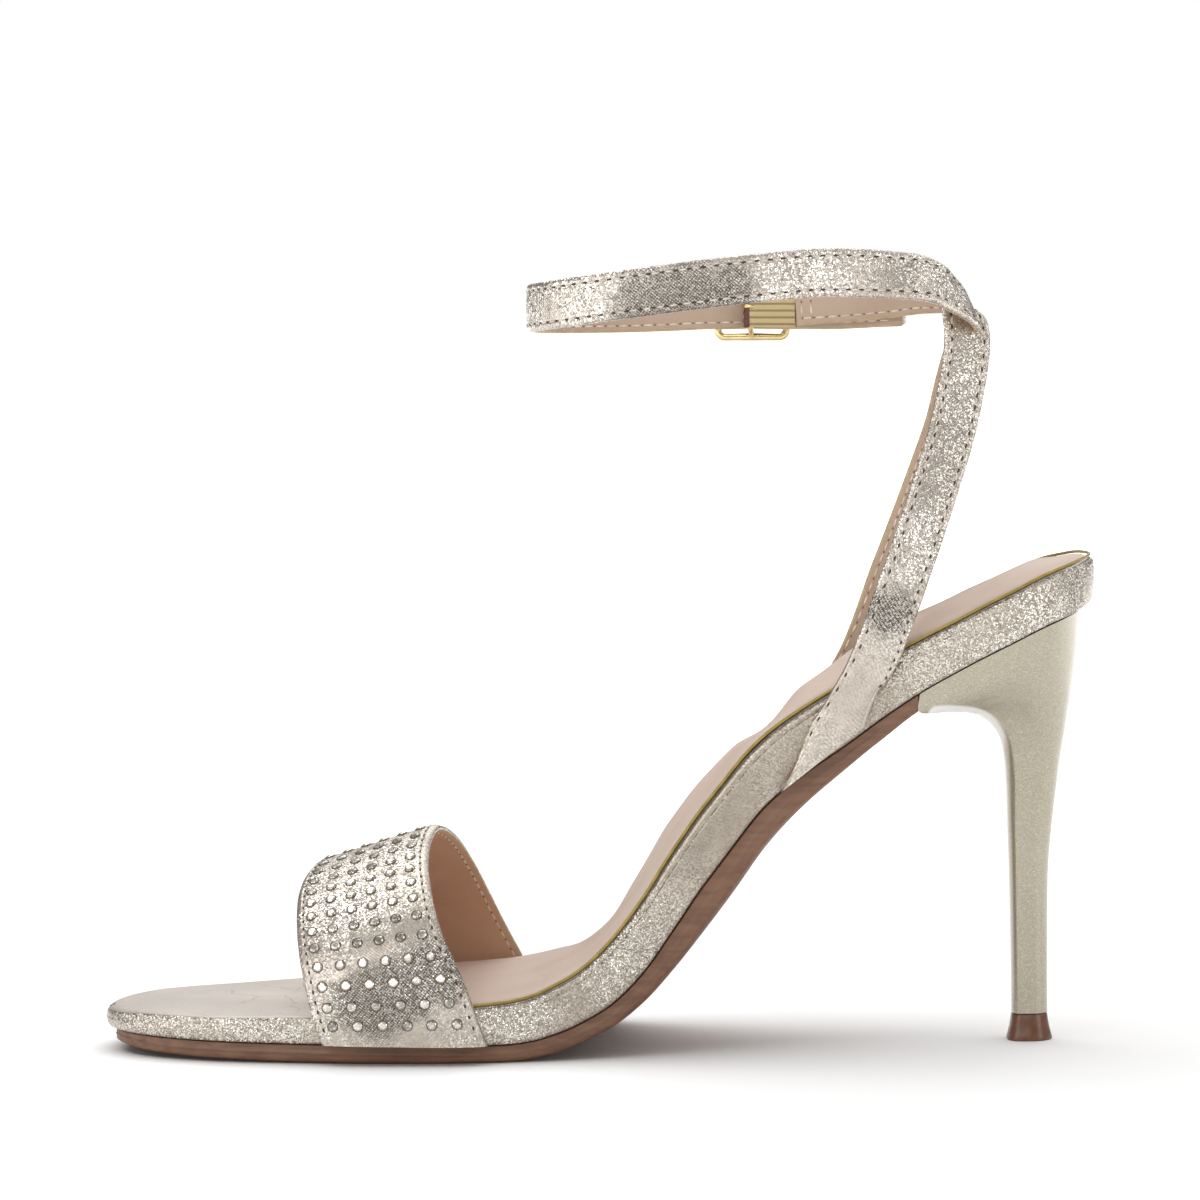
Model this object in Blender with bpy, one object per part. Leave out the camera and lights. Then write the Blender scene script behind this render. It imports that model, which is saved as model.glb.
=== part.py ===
"""Strappy high heeled sandal, a right shoe, as separate solid pieces.

Frame: metres, +Z up, the floor at z = 0, toe towards -X, heel towards +X, the inner (medial) side
of the foot towards -Y. The long way of the shoe is measured from the toe tip, as `along`, a share
of LENGTH.
"""

import math
from collections import namedtuple

import bmesh
import bpy
from mathutils import Matrix, Vector

# Whole shoe
LENGTH = 0.220
BALL_WIDTH = 0.073
WAIST_WIDTH = 0.047
SEAT_WIDTH = 0.048
HEEL_RISE = 0.0946
TOE_SPRING = 0.0034
OUTER_DROP = 0.0044
GAP = 0.0003

# Sole, board, sock and piping
SOLE_THICK = 0.0040
SOLE_INSET = 0.0016
BOARD_THICK = 0.0080
SOCK_EDGE = 0.0009
SOCK_CROWN = 0.0030
SOCK_INSET = 0.0021
SOCK_START = 0.290
PIPING_RADIUS = 0.00045
PIPING_INSET = 0.0011
BREAST_ALONG = 0.8176

# Heel and its tip
TIP_HEIGHT = 0.0058
SHAFT_WIDTH = 0.0078
TIP_FLARE = 0.0011
HEEL_SEAT_INSET = 0.0012

# Vamp strap and its stones
VAMP_WIDTH = 0.0366
VAMP_THICK = 0.0018
VAMP_FRONT_HEIGHT = 0.0343
VAMP_BACK_HEIGHT = 0.0429
STONE_WIDTH = 0.0022
STONE_HEIGHT = 0.0009
STONE_PITCH = 0.0047
STONE_COLUMNS = 6
STONE_FIRST = 0.11
STONE_LAST = 0.87

# Ankle straps
STRAP_WIDTH = 0.0104
STRAP_THICK = 0.0018
STRAP_RISE = 0.107
STRAP_BASE = 0.7225
WALL_CLEARANCE = 0.00045
LOOP_LENGTH = 0.1000
LOOP_BACK = 0.8880
LOOP_HALF = 0.0250
LOOP_EGG = 0.35

# Buckle, prong and elastic
BUCKLE_LENGTH = 0.0172
BUCKLE_BAR = 0.00175
BUCKLE_THICK = 0.0013
BUCKLE_CORNER = 0.0016
BUCKLE_PLAY = 0.0010
BUCKLE_HEIGHT = STRAP_WIDTH + 2 * BUCKLE_PLAY + 2 * BUCKLE_BAR
BUCKLE_TURN = 91.0
BUCKLE_UP = 0.9195
CENTRE_BAR_OUT = 0.0010
PRONG_RADIUS = 0.0005
PRONG_PLAY = 0.00035
ELASTIC_PLY = 0.0007
ELASTIC_WIDTH = 0.0096
ELASTIC_RIBS = 6
ELASTIC_RETURN = 0.0032
SLOT_FRONT = 0.0036
SLOT_BACK = 0.0012

# One row per cross section of the sole, from toe to heel. inner and outer are the half widths as
# shares of the row's own named width; spring, rise and drop are shares of TOE_SPRING, HEEL_RISE
# and OUTER_DROP; sole and board are upright depths in SOLE_THICK and BOARD_THICK; round is the
# share of the half width over which the sole's underside rises to its edge; puff is the crown of
# the sock as a share of SOCK_CROWN.
SoleRow = namedtuple("SoleRow", "along size inner outer spring rise drop sole board round puff")
SOLE_ROWS = [
    SoleRow(0.000, BALL_WIDTH, 0.055, -0.055, 1.00, 0.000, 0.00, 0.49, 0.50, 0.30, 0.0),
    SoleRow(0.018, BALL_WIDTH, 0.219, 0.130, 0.62, 0.000, 0.00, 0.73, 0.60, 0.18, 0.0),
    SoleRow(0.055, BALL_WIDTH, 0.315, 0.233, 0.31, 0.000, 0.00, 0.93, 0.69, 0.12, 0.0),
    SoleRow(0.118, BALL_WIDTH, 0.400, 0.333, 0.16, 0.000, 0.00, 1.00, 0.72, 0.08, 0.0),
    SoleRow(0.209, BALL_WIDTH, 0.453, 0.419, 0.04, 0.000, 0.00, 1.05, 0.81, 0.07, 0.0),
    SoleRow(0.282, BALL_WIDTH, 0.477, 0.471, 0.00, 0.000, 0.00, 1.03, 0.90, 0.07, 0.1),
    SoleRow(0.345, BALL_WIDTH, 0.481, 0.501, 0.00, 0.000, 0.00, 0.98, 1.00, 0.07, 0.3),
    SoleRow(0.400, BALL_WIDTH, 0.463, 0.512, 0.00, 0.000, 0.00, 1.00, 1.09, 0.07, 0.4),
    SoleRow(0.427, BALL_WIDTH, 0.448, 0.508, 0.00, 0.003, 0.04, 1.05, 1.16, 0.08, 0.4),
    SoleRow(0.459, BALL_WIDTH, 0.429, 0.496, 0.00, 0.019, 0.34, 1.13, 1.30, 0.12, 0.4),
    SoleRow(0.482, BALL_WIDTH, 0.414, 0.484, 0.00, 0.039, 0.70, 1.19, 1.41, 0.18, 0.4),
    SoleRow(0.509, BALL_WIDTH, 0.399, 0.466, 0.00, 0.070, 0.85, 1.32, 1.67, 0.28, 0.4),
    SoleRow(0.541, BALL_WIDTH, 0.375, 0.442, 0.00, 0.126, 0.30, 1.65, 1.94, 0.40, 0.3),
    SoleRow(0.573, BALL_WIDTH, 0.353, 0.418, 0.00, 0.205, 0.08, 2.20, 2.08, 0.50, 0.2),
    SoleRow(0.605, WAIST_WIDTH, 0.519, 0.613, 0.00, 0.296, 0.16, 2.57, 2.04, 0.55, 0.2),
    SoleRow(0.636, WAIST_WIDTH, 0.496, 0.583, 0.00, 0.392, 0.43, 2.51, 1.99, 0.55, 0.1),
    SoleRow(0.668, WAIST_WIDTH, 0.479, 0.557, 0.00, 0.499, 1.00, 2.08, 1.84, 0.55, 0.0),
    SoleRow(0.705, WAIST_WIDTH, 0.466, 0.540, 0.00, 0.588, 0.62, 1.60, 1.75, 0.50, 0.8),
    SoleRow(0.746, WAIST_WIDTH, 0.462, 0.530, 0.00, 0.669, 0.25, 1.22, 1.66, 0.45, 0.8),
    SoleRow(0.782, WAIST_WIDTH, 0.464, 0.528, 0.00, 0.737, 0.05, 1.05, 1.54, 0.40, 0.75),
    SoleRow(0.818, SEAT_WIDTH, 0.463, 0.519, 0.00, 0.797, 0.00, 0.97, 1.41, 0.35, 0.7),
    SoleRow(0.864, SEAT_WIDTH, 0.477, 0.521, 0.00, 0.858, 0.00, 0.97, 1.34, 0.30, 0.5),
    SoleRow(0.909, SEAT_WIDTH, 0.477, 0.506, 0.00, 0.911, 0.00, 0.97, 1.34, 0.30, 0.25),
    SoleRow(0.950, SEAT_WIDTH, 0.431, 0.446, 0.00, 0.956, 0.00, 0.97, 1.35, 0.30, 0.0),
    SoleRow(0.980, SEAT_WIDTH, 0.304, 0.310, 0.00, 0.981, 0.00, 0.97, 1.32, 0.30, 0.0),
    SoleRow(1.000, SEAT_WIDTH, 0.000, 0.000, 0.00, 1.000, 0.00, 0.97, 1.20, 0.30, 0.0),
]

# One row per level of the heel, from the seat down. front and back are the ends of the level as
# shares of LENGTH; front_up and back_up are their heights as shares of the seat's height at the
# breast and at the back; half is the half width in seat widths; square tells how far the breast
# keeps square corners; bulge is how far the breast's middle stands forward, in shaft widths.
HeelRow = namedtuple("HeelRow", "front front_up back back_up half square bulge")
HEEL_ROWS = [
    HeelRow(0.8190, 1.000, 0.9890, 1.000, 0.460, 1.00, 0.00),
    HeelRow(0.8200, 0.952, 0.9850, 0.915, 0.425, 0.90, 0.03),
    HeelRow(0.8530, 0.950, 0.9805, 0.850, 0.350, 0.75, 0.08),
    HeelRow(0.8760, 0.940, 0.9775, 0.805, 0.285, 0.60, 0.10),
    HeelRow(0.8920, 0.916, 0.9745, 0.765, 0.230, 0.50, 0.12),
    HeelRow(0.9035, 0.875, 0.9710, 0.715, 0.188, 0.42, 0.10),
    HeelRow(0.9095, 0.820, 0.9670, 0.665, 0.160, 0.36, 0.06),
    HeelRow(0.9125, 0.740, 0.9625, 0.590, 0.134, 0.30, 0.03),
    HeelRow(0.9142, 0.620, 0.9575, 0.497, 0.112, 0.30, 0.00),
    HeelRow(0.9160, 0.490, 0.9538, 0.395, 0.098, 0.30, 0.00),
    HeelRow(0.9175, 0.290, 0.9528, 0.230, 0.086, 0.30, 0.00),
    HeelRow(0.9182, 0.090, 0.9528, 0.072, 0.082, 0.30, 0.00),
]

# One row per section around the foot, from the inner side over the top to the outer side. out is
# the sideways reach in local half widths of the sole, rise the height above the sole's top edge
# as a share of the strap's heights, front the front edge as a share of LENGTH, and width is in
# VAMP_WIDTH.
VampRow = namedtuple("VampRow", "out rise front width")
VAMP_ROWS = [
    VampRow(-1.000, 0.000, 0.2294, 0.973),
    VampRow(-1.000, 0.165, 0.2216, 0.954),
    VampRow(-1.000, 0.300, 0.2166, 0.933),
    VampRow(-0.965, 0.420, 0.2126, 0.895),
    VampRow(-0.890, 0.545, 0.2089, 0.848),
    VampRow(-0.765, 0.665, 0.2061, 0.815),
    VampRow(-0.610, 0.770, 0.2051, 0.793),
    VampRow(-0.420, 0.860, 0.2060, 0.772),
    VampRow(-0.180, 0.950, 0.2120, 0.745),
    VampRow(0.080, 1.000, 0.2237, 0.725),
    VampRow(0.370, 0.925, 0.2360, 0.745),
    VampRow(0.640, 0.775, 0.2450, 0.783),
    VampRow(0.860, 0.580, 0.2533, 0.830),
    VampRow(0.980, 0.380, 0.2610, 0.885),
    VampRow(1.020, 0.180, 0.2697, 0.945),
    VampRow(1.000, 0.000, 0.2775, 0.973),
]

# One row per section of a strap from the sole's side up to the ankle. along is the place as a
# share of LENGTH, out the sideways reach in local half widths, positive on the strap's own side,
# up the height above the strap's foot as a share of STRAP_RISE, and width is in STRAP_WIDTH. skew
# is the slant of the section, face turns its face from its own side towards the back, and lean
# tips the face upwards, all in degrees.
StrapRow = namedtuple("StrapRow", "along out up width skew face lean")
QUARTER_ROWS = [
    StrapRow(0.7225, 1.02, 0.007, 2.26, 62.0, -4.0, 0.0),
    StrapRow(0.7410, 1.02, 0.097, 2.13, 64.0, -2.0, 0.0),
    StrapRow(0.7586, 1.03, 0.163, 1.74, 58.0, 0.0, 0.0),
    StrapRow(0.7720, 1.03, 0.218, 1.41, 47.0, 1.0, 0.0),
    StrapRow(0.7855, 1.05, 0.290, 1.13, 30.0, 2.0, 0.0),
    StrapRow(0.7993, 1.04, 0.371, 1.00, 6.0, 4.0, 0.0),
    StrapRow(0.8152, 0.94, 0.462, 1.00, 0.0, 6.0, 0.0),
    StrapRow(0.8343, 0.77, 0.574, 1.00, 0.0, 8.0, 0.0),
    StrapRow(0.8500, 0.60, 0.669, 1.00, 0.0, 9.0, 0.0),
    StrapRow(0.8595, 0.48, 0.745, 1.00, 0.0, 10.0, 0.0),
]
# The short strap goes on up, turns under the crossing and comes out on the other side.
UNDER_ROWS = [
    StrapRow(0.8665, 0.38, 0.812, 1.00, 0.0, 12.0, 0.0),
    StrapRow(0.8690, 0.32, 0.862, 1.00, 0.0, 14.0, 4.0),
    StrapRow(0.8670, 0.23, 0.903, 1.00, 0.0, 28.0, 16.0),
    StrapRow(0.8610, 0.08, 0.934, 1.00, 0.0, 62.0, 34.0),
    StrapRow(0.8550, -0.12, 0.949, 1.00, 0.0, 108.0, 32.0),
    StrapRow(0.8430, -0.31, 0.954, 1.00, 0.0, 140.0, 22.0),
    StrapRow(0.8230, -0.50, 0.953, 1.00, 0.0, 154.0, 8.0),
    StrapRow(0.7950, -0.68, 0.944, 1.00, 0.0, 160.0, 3.0),
]
# The long strap crosses outside it, from its own side down behind to the other side above.
OVER_ROWS = [
    StrapRow(0.8670, 0.39, 0.803, 1.00, 0.0, 18.0, 0.0),
    StrapRow(0.8730, 0.28, 0.842, 1.00, 0.0, 40.0, 4.0),
    StrapRow(0.8755, 0.09, 0.872, 1.00, 0.0, 78.0, 20.0),
    StrapRow(0.8745, -0.12, 0.903, 1.00, 0.0, 108.0, 32.0),
    StrapRow(0.8677, -0.30, 0.930, 1.00, 0.0, 132.0, 38.0),
    StrapRow(0.8530, -0.46, 0.955, 1.00, 0.0, 149.0, 35.0),
    StrapRow(0.8370, -0.58, 0.978, 1.00, 0.0, 157.0, 28.0),
    StrapRow(0.8130, -0.71, 0.991, 1.00, 0.0, 162.0, 18.0),
]

# One row per point of a strap's band round the ankle. turn is the place round the ankle in
# degrees, 0 at the back, 90 on the strap's far side and -90 on its own side, up is the height as
# a share of STRAP_RISE, and over is how far the strap lies outside the ankle's own surface, in
# STRAP_THICK.
LoopRow = namedtuple("LoopRow", "turn up over")
SHORT_LOOP_ROWS = [
    LoopRow(66.0, 0.935, 0.0),
    LoopRow(79.0, 0.928, 0.0),
]
LONG_LOOP_ROWS = [
    LoopRow(72.0, 1.001, 0.0),
    LoopRow(86.0, 0.995, 0.0),
    LoopRow(100.0, 0.984, 0.0),
    LoopRow(116.0, 0.969, 0.0),
    LoopRow(134.0, 0.952, 0.0),
    LoopRow(152.0, 0.938, 0.0),
    LoopRow(168.0, 0.929, 0.0),
    LoopRow(180.0, 0.925, 0.0),
    LoopRow(192.0, 0.921, 0.0),
    LoopRow(208.0, 0.917, 0.0),
    LoopRow(226.0, 0.915, 0.0),
    LoopRow(238.0, 0.915, 0.0),
    LoopRow(249.0, 0.917, 0.1),
]
TAIL_TURN = 312.5

SOLE_STATIONS = 46
SOLE_ENDS = 0.05
SHORT_STATIONS = 42
LONG_STATIONS = 84
HEEL_ROUND = 16


def clear_scene():
    """Remove every object that the file starts with."""
    for item in list(bpy.data.objects):
        bpy.data.objects.remove(item, do_unlink=True)


def make_material(name, colour, roughness, metallic=0.0):
    """Return a Principled material."""
    material = bpy.data.materials.new(name)
    material.use_nodes = True
    shader = material.node_tree.nodes["Principled BSDF"]
    shader.inputs["Base Color"].default_value = (*colour, 1.0)
    shader.inputs["Roughness"].default_value = roughness
    shader.inputs["Metallic"].default_value = metallic
    return material


def steady(knots, values, at):
    """Read a smooth curve through the knots that never overshoots its values."""
    if at <= knots[0]:
        return values[0]
    if at >= knots[-1]:
        return values[-1]
    k = max(i for i, knot in enumerate(knots[:-1]) if knot <= at)
    steps = [b - a for a, b in zip(knots, knots[1:])]
    slopes = [(b - a) / s for a, b, s in zip(values, values[1:], steps)]

    def tangent(i):
        if i == 0:
            return slopes[0]
        if i == len(slopes):
            return slopes[-1]
        before, after = slopes[i - 1], slopes[i]
        return 0.0 if before * after <= 0.0 else 2.0 * before * after / (before + after)

    s = (at - knots[k]) / steps[k]
    rise = steps[k]
    return (
        values[k] * (1 + 2 * s) * (1 - s) ** 2
        + rise * tangent(k) * s * (1 - s) ** 2
        + values[k + 1] * s * s * (3 - 2 * s)
        + rise * tangent(k + 1) * s * s * (s - 1)
    )


def flowing(knots, values, at):
    """Read a smooth curve through the knots, numbers or vectors, with even tangents."""
    k = max(0, min(len(knots) - 2, sum(1 for knot in knots[1:-1] if knot <= at)))
    rise = knots[k + 1] - knots[k]

    def tangent(i):
        low, high = max(0, i - 1), min(len(knots) - 1, i + 1)
        return (values[high] - values[low]) * (1.0 / (knots[high] - knots[low]))

    s = min(1.0, max(0.0, (at - knots[k]) / rise))
    return (
        values[k] * ((1 + 2 * s) * (1 - s) ** 2)
        + tangent(k) * (rise * s * (1 - s) ** 2)
        + values[k + 1] * (s * s * (3 - 2 * s))
        + tangent(k + 1) * (rise * s * s * (s - 1))
    )


ALONG = [row.along for row in SOLE_ROWS]
SWING = [math.acos(1 - 2 * row.along) for row in SOLE_ROWS]


def sole_value(column, x, size=1.0):
    """Return a column of the sole's table at x metres from the toe, times a named size."""
    values = [getattr(row, column) for row in SOLE_ROWS]
    return size * steady(ALONG, values, x / LENGTH)


def tread(x):
    """Return the height of the sole's underside at x metres from the toe."""
    return sole_value("spring", x, TOE_SPRING) + sole_value("rise", x, HEEL_RISE)


def feather(x):
    """Return the height of the seam between sole and board at x metres from the toe."""
    return tread(x) + sole_value("sole", x, SOLE_THICK)


def rim(x):
    """Return the height of the board's top edge at x metres from the toe."""
    return feather(x) + sole_value("board", x, BOARD_THICK)


def steep(x):
    """Return how much longer an upright gap is than the gap square to the shank at x."""
    reach = 0.002
    slope = (feather(x + reach) - feather(x - reach)) / (2 * reach)
    return math.sqrt(1 + slope * slope)


def plan_point(swing, side):
    """Return the outline's point at a swing of 0 at the toe to pi at the heel, on one side."""
    column = "inner" if side < 0 else "outer"
    values = [row.size * getattr(row, column) for row in SOLE_ROWS]
    return Vector((LENGTH * (1 - math.cos(swing)) / 2, side * steady(SWING, values, swing)))


def edge_point(swing, side, inset=0.0):
    """Return the outline's point drawn in square to the outline."""
    step = 0.004
    here = plan_point(swing, side)
    ahead = plan_point(min(math.pi, swing + step), side)
    behind = plan_point(max(0.0, swing - step), side)
    along = (ahead - behind).normalized()
    inward = Vector((-along.y, along.x)) * -side
    return here + inward * inset


def swing_at(x):
    """Return the swing of the outline at x metres from the toe."""
    return math.acos(1 - 2 * min(1.0, max(0.0, x / LENGTH)))


def half_width(x, side):
    """Return the outline's half width at x metres from the toe."""
    return abs(plan_point(swing_at(x), side).y)


def drop_at(x, share):
    """Return how far the outer side lies lower, for a share of the way across from the inner side."""
    return sole_value("drop", x, OUTER_DROP) * share


def world(x, y, z):
    """Return a point of the shoe in world coordinates from its distance behind the toe."""
    return Vector((x - LENGTH / 2, y, z))


def sole_ring(swing, marks):
    """Return one section of a layer of the sole.

    Each mark is (side, inset, share, height): share runs across from the edge drawn in by inset on
    that side, 0 at the edge and 1 at the other edge, and height is read at the point's own x.
    """
    ring = []
    for side, inset, share, height in marks:
        near = edge_point(swing, side, inset)
        far = edge_point(swing, -side, inset)
        spot = near.lerp(far, share)
        across = share if side < 0 else 1 - share
        ring.append(world(spot.x, spot.y, height(spot.x) - drop_at(spot.x, across)))
    return ring


def even(first, last, count):
    """Return count values spread evenly from first to last."""
    return [first + (last - first) * i / (count - 1) for i in range(count)]


def stations(first, last):
    """Return the swings of the sections that all layers of the sole share, from first to last."""
    shared = even(SOLE_ENDS, math.pi - SOLE_ENDS, SOLE_STATIONS)
    near = 0.3 * (shared[1] - shared[0])
    return [first] + [swing for swing in shared if first + near < swing < last - near] + [last]


def make_object(name, bm, material, smooth=math.radians(35)):
    """Turn a bmesh into a named object with its faces pointing out."""
    bmesh.ops.recalc_face_normals(bm, faces=bm.faces)
    mesh = bpy.data.meshes.new(name)
    bm.to_mesh(mesh)
    bm.free()
    mesh.materials.append(material)
    mesh.shade_smooth()
    mesh.set_sharp_from_angle(angle=smooth)
    thing = bpy.data.objects.new(name, mesh)
    bpy.context.scene.collection.objects.link(thing)
    return thing


def skin(name, rings, material, closed=False):
    """Make a solid through rings of equal length, capped at both ends or closed on itself.

    Each face is split along the diagonal that starts on its inner side, so that layers which lie on
    each other are split alike.
    """
    bm = bmesh.new()
    loops = [[bm.verts.new(point) for point in ring] for ring in rings]
    pairs = list(zip(loops, loops[1:]))
    if closed:
        pairs.append((loops[-1], loops[0]))
    for one, two in pairs:
        for i in range(len(one)):
            j = (i + 1) % len(one)
            if one[i].co.y <= one[j].co.y:
                bm.faces.new((one[i], one[j], two[j]))
                bm.faces.new((one[i], two[j], two[i]))
            else:
                bm.faces.new((one[i], one[j], two[i]))
                bm.faces.new((one[j], two[j], two[i]))
    if not closed:
        bm.faces.new(list(reversed(loops[0])))
        bm.faces.new(loops[-1])
    return make_object(name, bm, material)


def box_guide(name, centre, axes, half_sizes):
    """Make a hidden box for cutting, from its centre, its three axes and its half sizes."""
    bm = bmesh.new()
    bmesh.ops.create_cube(bm, size=2.0)
    for vert in bm.verts:
        spot = centre.copy()
        for axis, half, share in zip(axes, half_sizes, vert.co):
            spot += axis * (half * share)
        vert.co = spot
    bmesh.ops.recalc_face_normals(bm, faces=bm.faces)
    mesh = bpy.data.meshes.new(name)
    bm.to_mesh(mesh)
    bm.free()
    guide = bpy.data.objects.new(name, mesh)
    bpy.context.scene.collection.objects.link(guide)
    hide_guide(guide)
    return guide


def hide_guide(thing):
    """Mark an object as a guide that only shapes others."""
    thing.hide_render = True
    thing.display_type = "WIRE"


def add_boolean(thing, guide, operation):
    """Cut or join an object with a hidden guide."""
    boolean = thing.modifiers.new(guide.name, "BOOLEAN")
    boolean.operation = operation
    boolean.solver = "EXACT"
    boolean.object = guide


def make_outsole(material):
    """Make the thin sole, from the toe to the heel breast, with its underside rounded up."""
    def top(x):
        return feather(x) - GAP * steep(x) / 2

    def depth(x):
        return top(x) - tread(x)

    def wall(x):
        return tread(x) + 0.34 * depth(x)

    def shoulder(x):
        return tread(x) + 0.05 * depth(x)

    rings = []
    for swing in stations(0.16, swing_at(BREAST_ALONG * LENGTH)):
        spread = sole_value("round", edge_point(swing, -1).x) / 2
        rings.append(sole_ring(swing, [
            (-1, SOLE_INSET, 0.0, top),
            (-1, SOLE_INSET, 0.0, wall),
            (-1, SOLE_INSET, spread * 0.45, shoulder),
            (-1, SOLE_INSET, spread, tread),
            (1, SOLE_INSET, spread, tread),
            (1, SOLE_INSET, spread * 0.45, shoulder),
            (1, SOLE_INSET, 0.0, wall),
            (1, SOLE_INSET, 0.0, top),
        ]))
    return skin("outsole", rings, material)


def make_board(material):
    """Make the wrapped board, whose side is tucked in below and rolled over at the rim."""
    def at_share(share):
        def height(x):
            foot = feather(x) + GAP * steep(x) / 2
            return foot + share * (rim(x) - foot)
        return height

    tuck, roll, bead = 0.0009, 0.0004, 0.0016
    rings = []
    for swing in stations(SOLE_ENDS, math.pi - SOLE_ENDS):
        rings.append(sole_ring(swing, [
            (-1, tuck, 0.0, at_share(0.0)),
            (-1, roll * 0.3, 0.0, at_share(0.22)),
            (-1, 0.0, 0.0, at_share(0.62)),
            (-1, roll, 0.0, at_share(0.94)),
            (-1, bead, 0.0, at_share(1.0)),
            (1, bead, 0.0, at_share(1.0)),
            (1, roll, 0.0, at_share(0.94)),
            (1, 0.0, 0.0, at_share(0.62)),
            (1, roll * 0.3, 0.0, at_share(0.22)),
            (1, tuck, 0.0, at_share(0.0)),
        ]))
    return skin("platform_board", rings, material)


def sock_height(share):
    """Return the height function of the sock's top for a share of the way across."""
    dome = (1 - (2 * share - 1) ** 2) ** 0.7

    def height(x):
        crown = sole_value("puff", x, SOCK_CROWN) * dome
        return rim(x) + (GAP + SOCK_EDGE + crown) * steep(x)
    return height


def make_sock(material):
    """Make the padded sock, crowned over the arch and the heel and pinched between them."""
    def foot(x):
        return rim(x) + GAP * steep(x)

    def side(x):
        return rim(x) + (GAP + 0.6 * SOCK_EDGE) * steep(x)

    rings = []
    for swing in stations(swing_at(SOCK_START * LENGTH), math.pi - SOLE_ENDS):
        across = [0.05, 0.18, 0.34, 0.5]
        marks = [(-1, SOCK_INSET + 0.0003, 0.0, foot), (-1, SOCK_INSET, 0.0, side)]
        marks += [(-1, SOCK_INSET, share, sock_height(share)) for share in across]
        marks += [(1, SOCK_INSET, share, sock_height(share)) for share in across[-2::-1]]
        marks += [(1, SOCK_INSET, 0.0, side), (1, SOCK_INSET + 0.0003, 0.0, foot)]
        rings.append(sole_ring(swing, marks))
    return skin("insole_sock", rings, material)


def frames_along(points, ups):
    """Return (point, side, up) for each point of a path, square to its direction."""
    frames = []
    for i, point in enumerate(points):
        ahead = points[min(i + 1, len(points) - 1)]
        behind = points[max(i - 1, 0)]
        tangent = (ahead - behind).normalized()
        side = ups[i].cross(tangent).normalized()
        frames.append((point, side, tangent.cross(side)))
    return frames


def make_piping(material):
    """Make the thin cord in the seam between board and sock, round the heel."""
    swings = stations(swing_at((SOCK_START + 0.004) * LENGTH), math.pi)
    path = []
    for side, order in ((-1, swings), (1, swings[-2::-1])):
        for swing in order:
            spot = edge_point(swing, side, PIPING_INSET)
            across = 0.0 if side < 0 else 1.0
            lift = (GAP + PIPING_RADIUS) * steep(spot.x)
            path.append(world(spot.x, spot.y, rim(spot.x) + lift - drop_at(spot.x, across)))
    ups = [Vector((0, 0, 1))] * len(path)
    rings = []
    for point, side, up in frames_along(path, ups):
        turns = even(0, math.tau, 6)[:-1]
        rings.append([point + (side * math.cos(a) + up * math.sin(a)) * PIPING_RADIUS for a in turns])
    return skin("sock_piping", rings, material)


def heel_ring(row, level):
    """Return one level of the heel, from the breast's middle round both sides."""
    seat_front = feather(HEEL_ROWS[0].front * LENGTH) - GAP * 1.15
    seat_back = feather(HEEL_ROWS[0].back * LENGTH) - GAP * 1.15
    foot = TIP_HEIGHT + GAP
    low, high = HEEL_ROWS[-1], HEEL_ROWS[0]
    front_share = (row.front_up - low.front_up) / (high.front_up - low.front_up)
    back_share = (row.back_up - low.back_up) / (high.back_up - low.back_up)
    front = Vector((row.front * LENGTH, 0, foot + front_share * (seat_front - foot)))
    back = Vector((row.back * LENGTH, 0, foot + back_share * (seat_back - foot)))
    if level > len(HEEL_ROWS) - 3:
        back.z = front.z = (front.z + back.z) / 2
    ring = []
    for i in range(HEEL_ROUND):
        angle = math.tau * i / HEEL_ROUND
        share = (1 - math.cos(angle)) / 2
        spot = front.lerp(back, share)
        round_half = abs(math.sin(angle))
        front_fill = row.square * max(0.0, math.cos(angle)) ** 0.5
        fullness = max(round_half, min(1.0, round_half + front_fill)) if i else 0.0
        side = -1 if angle < math.pi else 1
        half = row.half * SEAT_WIDTH * fullness
        if level == 0:
            spot.z = feather(spot.x) - GAP * steep(spot.x) / 2
            edge = abs(edge_point(swing_at(spot.x), side, HEEL_SEAT_INSET).y)
            half = min(half / row.half * 0.5, edge) if i else 0
        ahead = row.bulge * SHAFT_WIDTH * max(0.0, math.cos(angle)) ** 3
        spot.z -= ahead * 0.6
        spot.x -= ahead * 0.3
        ring.append(world(spot.x, side * half, spot.z))
    return ring


def make_heel(material):
    """Make the heel through its levels."""
    return skin("heel", [heel_ring(row, level) for level, row in enumerate(HEEL_ROWS)], material)


def make_tip(material):
    """Make the top piece under the heel, flared to the floor."""
    top = heel_ring(HEEL_ROWS[-1], len(HEEL_ROWS) - 1)
    centre = sum(top, Vector()) / len(top)
    rings = []
    for height, flare in ((1.0, 0.0), (0.55, 0.2), (0.10, 1.0), (0.0, 1.0)):
        ring = []
        for point in top:
            out = Vector((point.x - centre.x, point.y - centre.y, 0)).normalized()
            spot = Vector((point.x, point.y, TIP_HEIGHT * height))
            ring.append(spot + out * (TIP_FLARE * flare))
        rings.append(ring)
    return skin("heel_tip", rings, material)


VAMP_STEPS = [float(i) for i in range(len(VAMP_ROWS))]


def vamp_point(around, share):
    """Return the inner face of the vamp strap: around in rows, share from front to back edge."""
    def column(name):
        return flowing(VAMP_STEPS, [getattr(row, name) for row in VAMP_ROWS], around)

    front = column("front") * LENGTH
    x = front + share * column("width") * VAMP_WIDTH
    out = column("out")
    side = -1 if out < 0 else 1
    inner, outer = half_width(x, -1), half_width(x, 1)
    blend = min(1.0, max(0.0, (out + 1) / 2))
    reach = inner + (outer - inner) * blend + WALL_CLEARANCE
    height = VAMP_FRONT_HEIGHT + (VAMP_BACK_HEIGHT - VAMP_FRONT_HEIGHT) * share
    foot = feather(x) + GAP - drop_at(x, blend)
    return world(x, out * reach, foot + column("rise") * height), side


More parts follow.
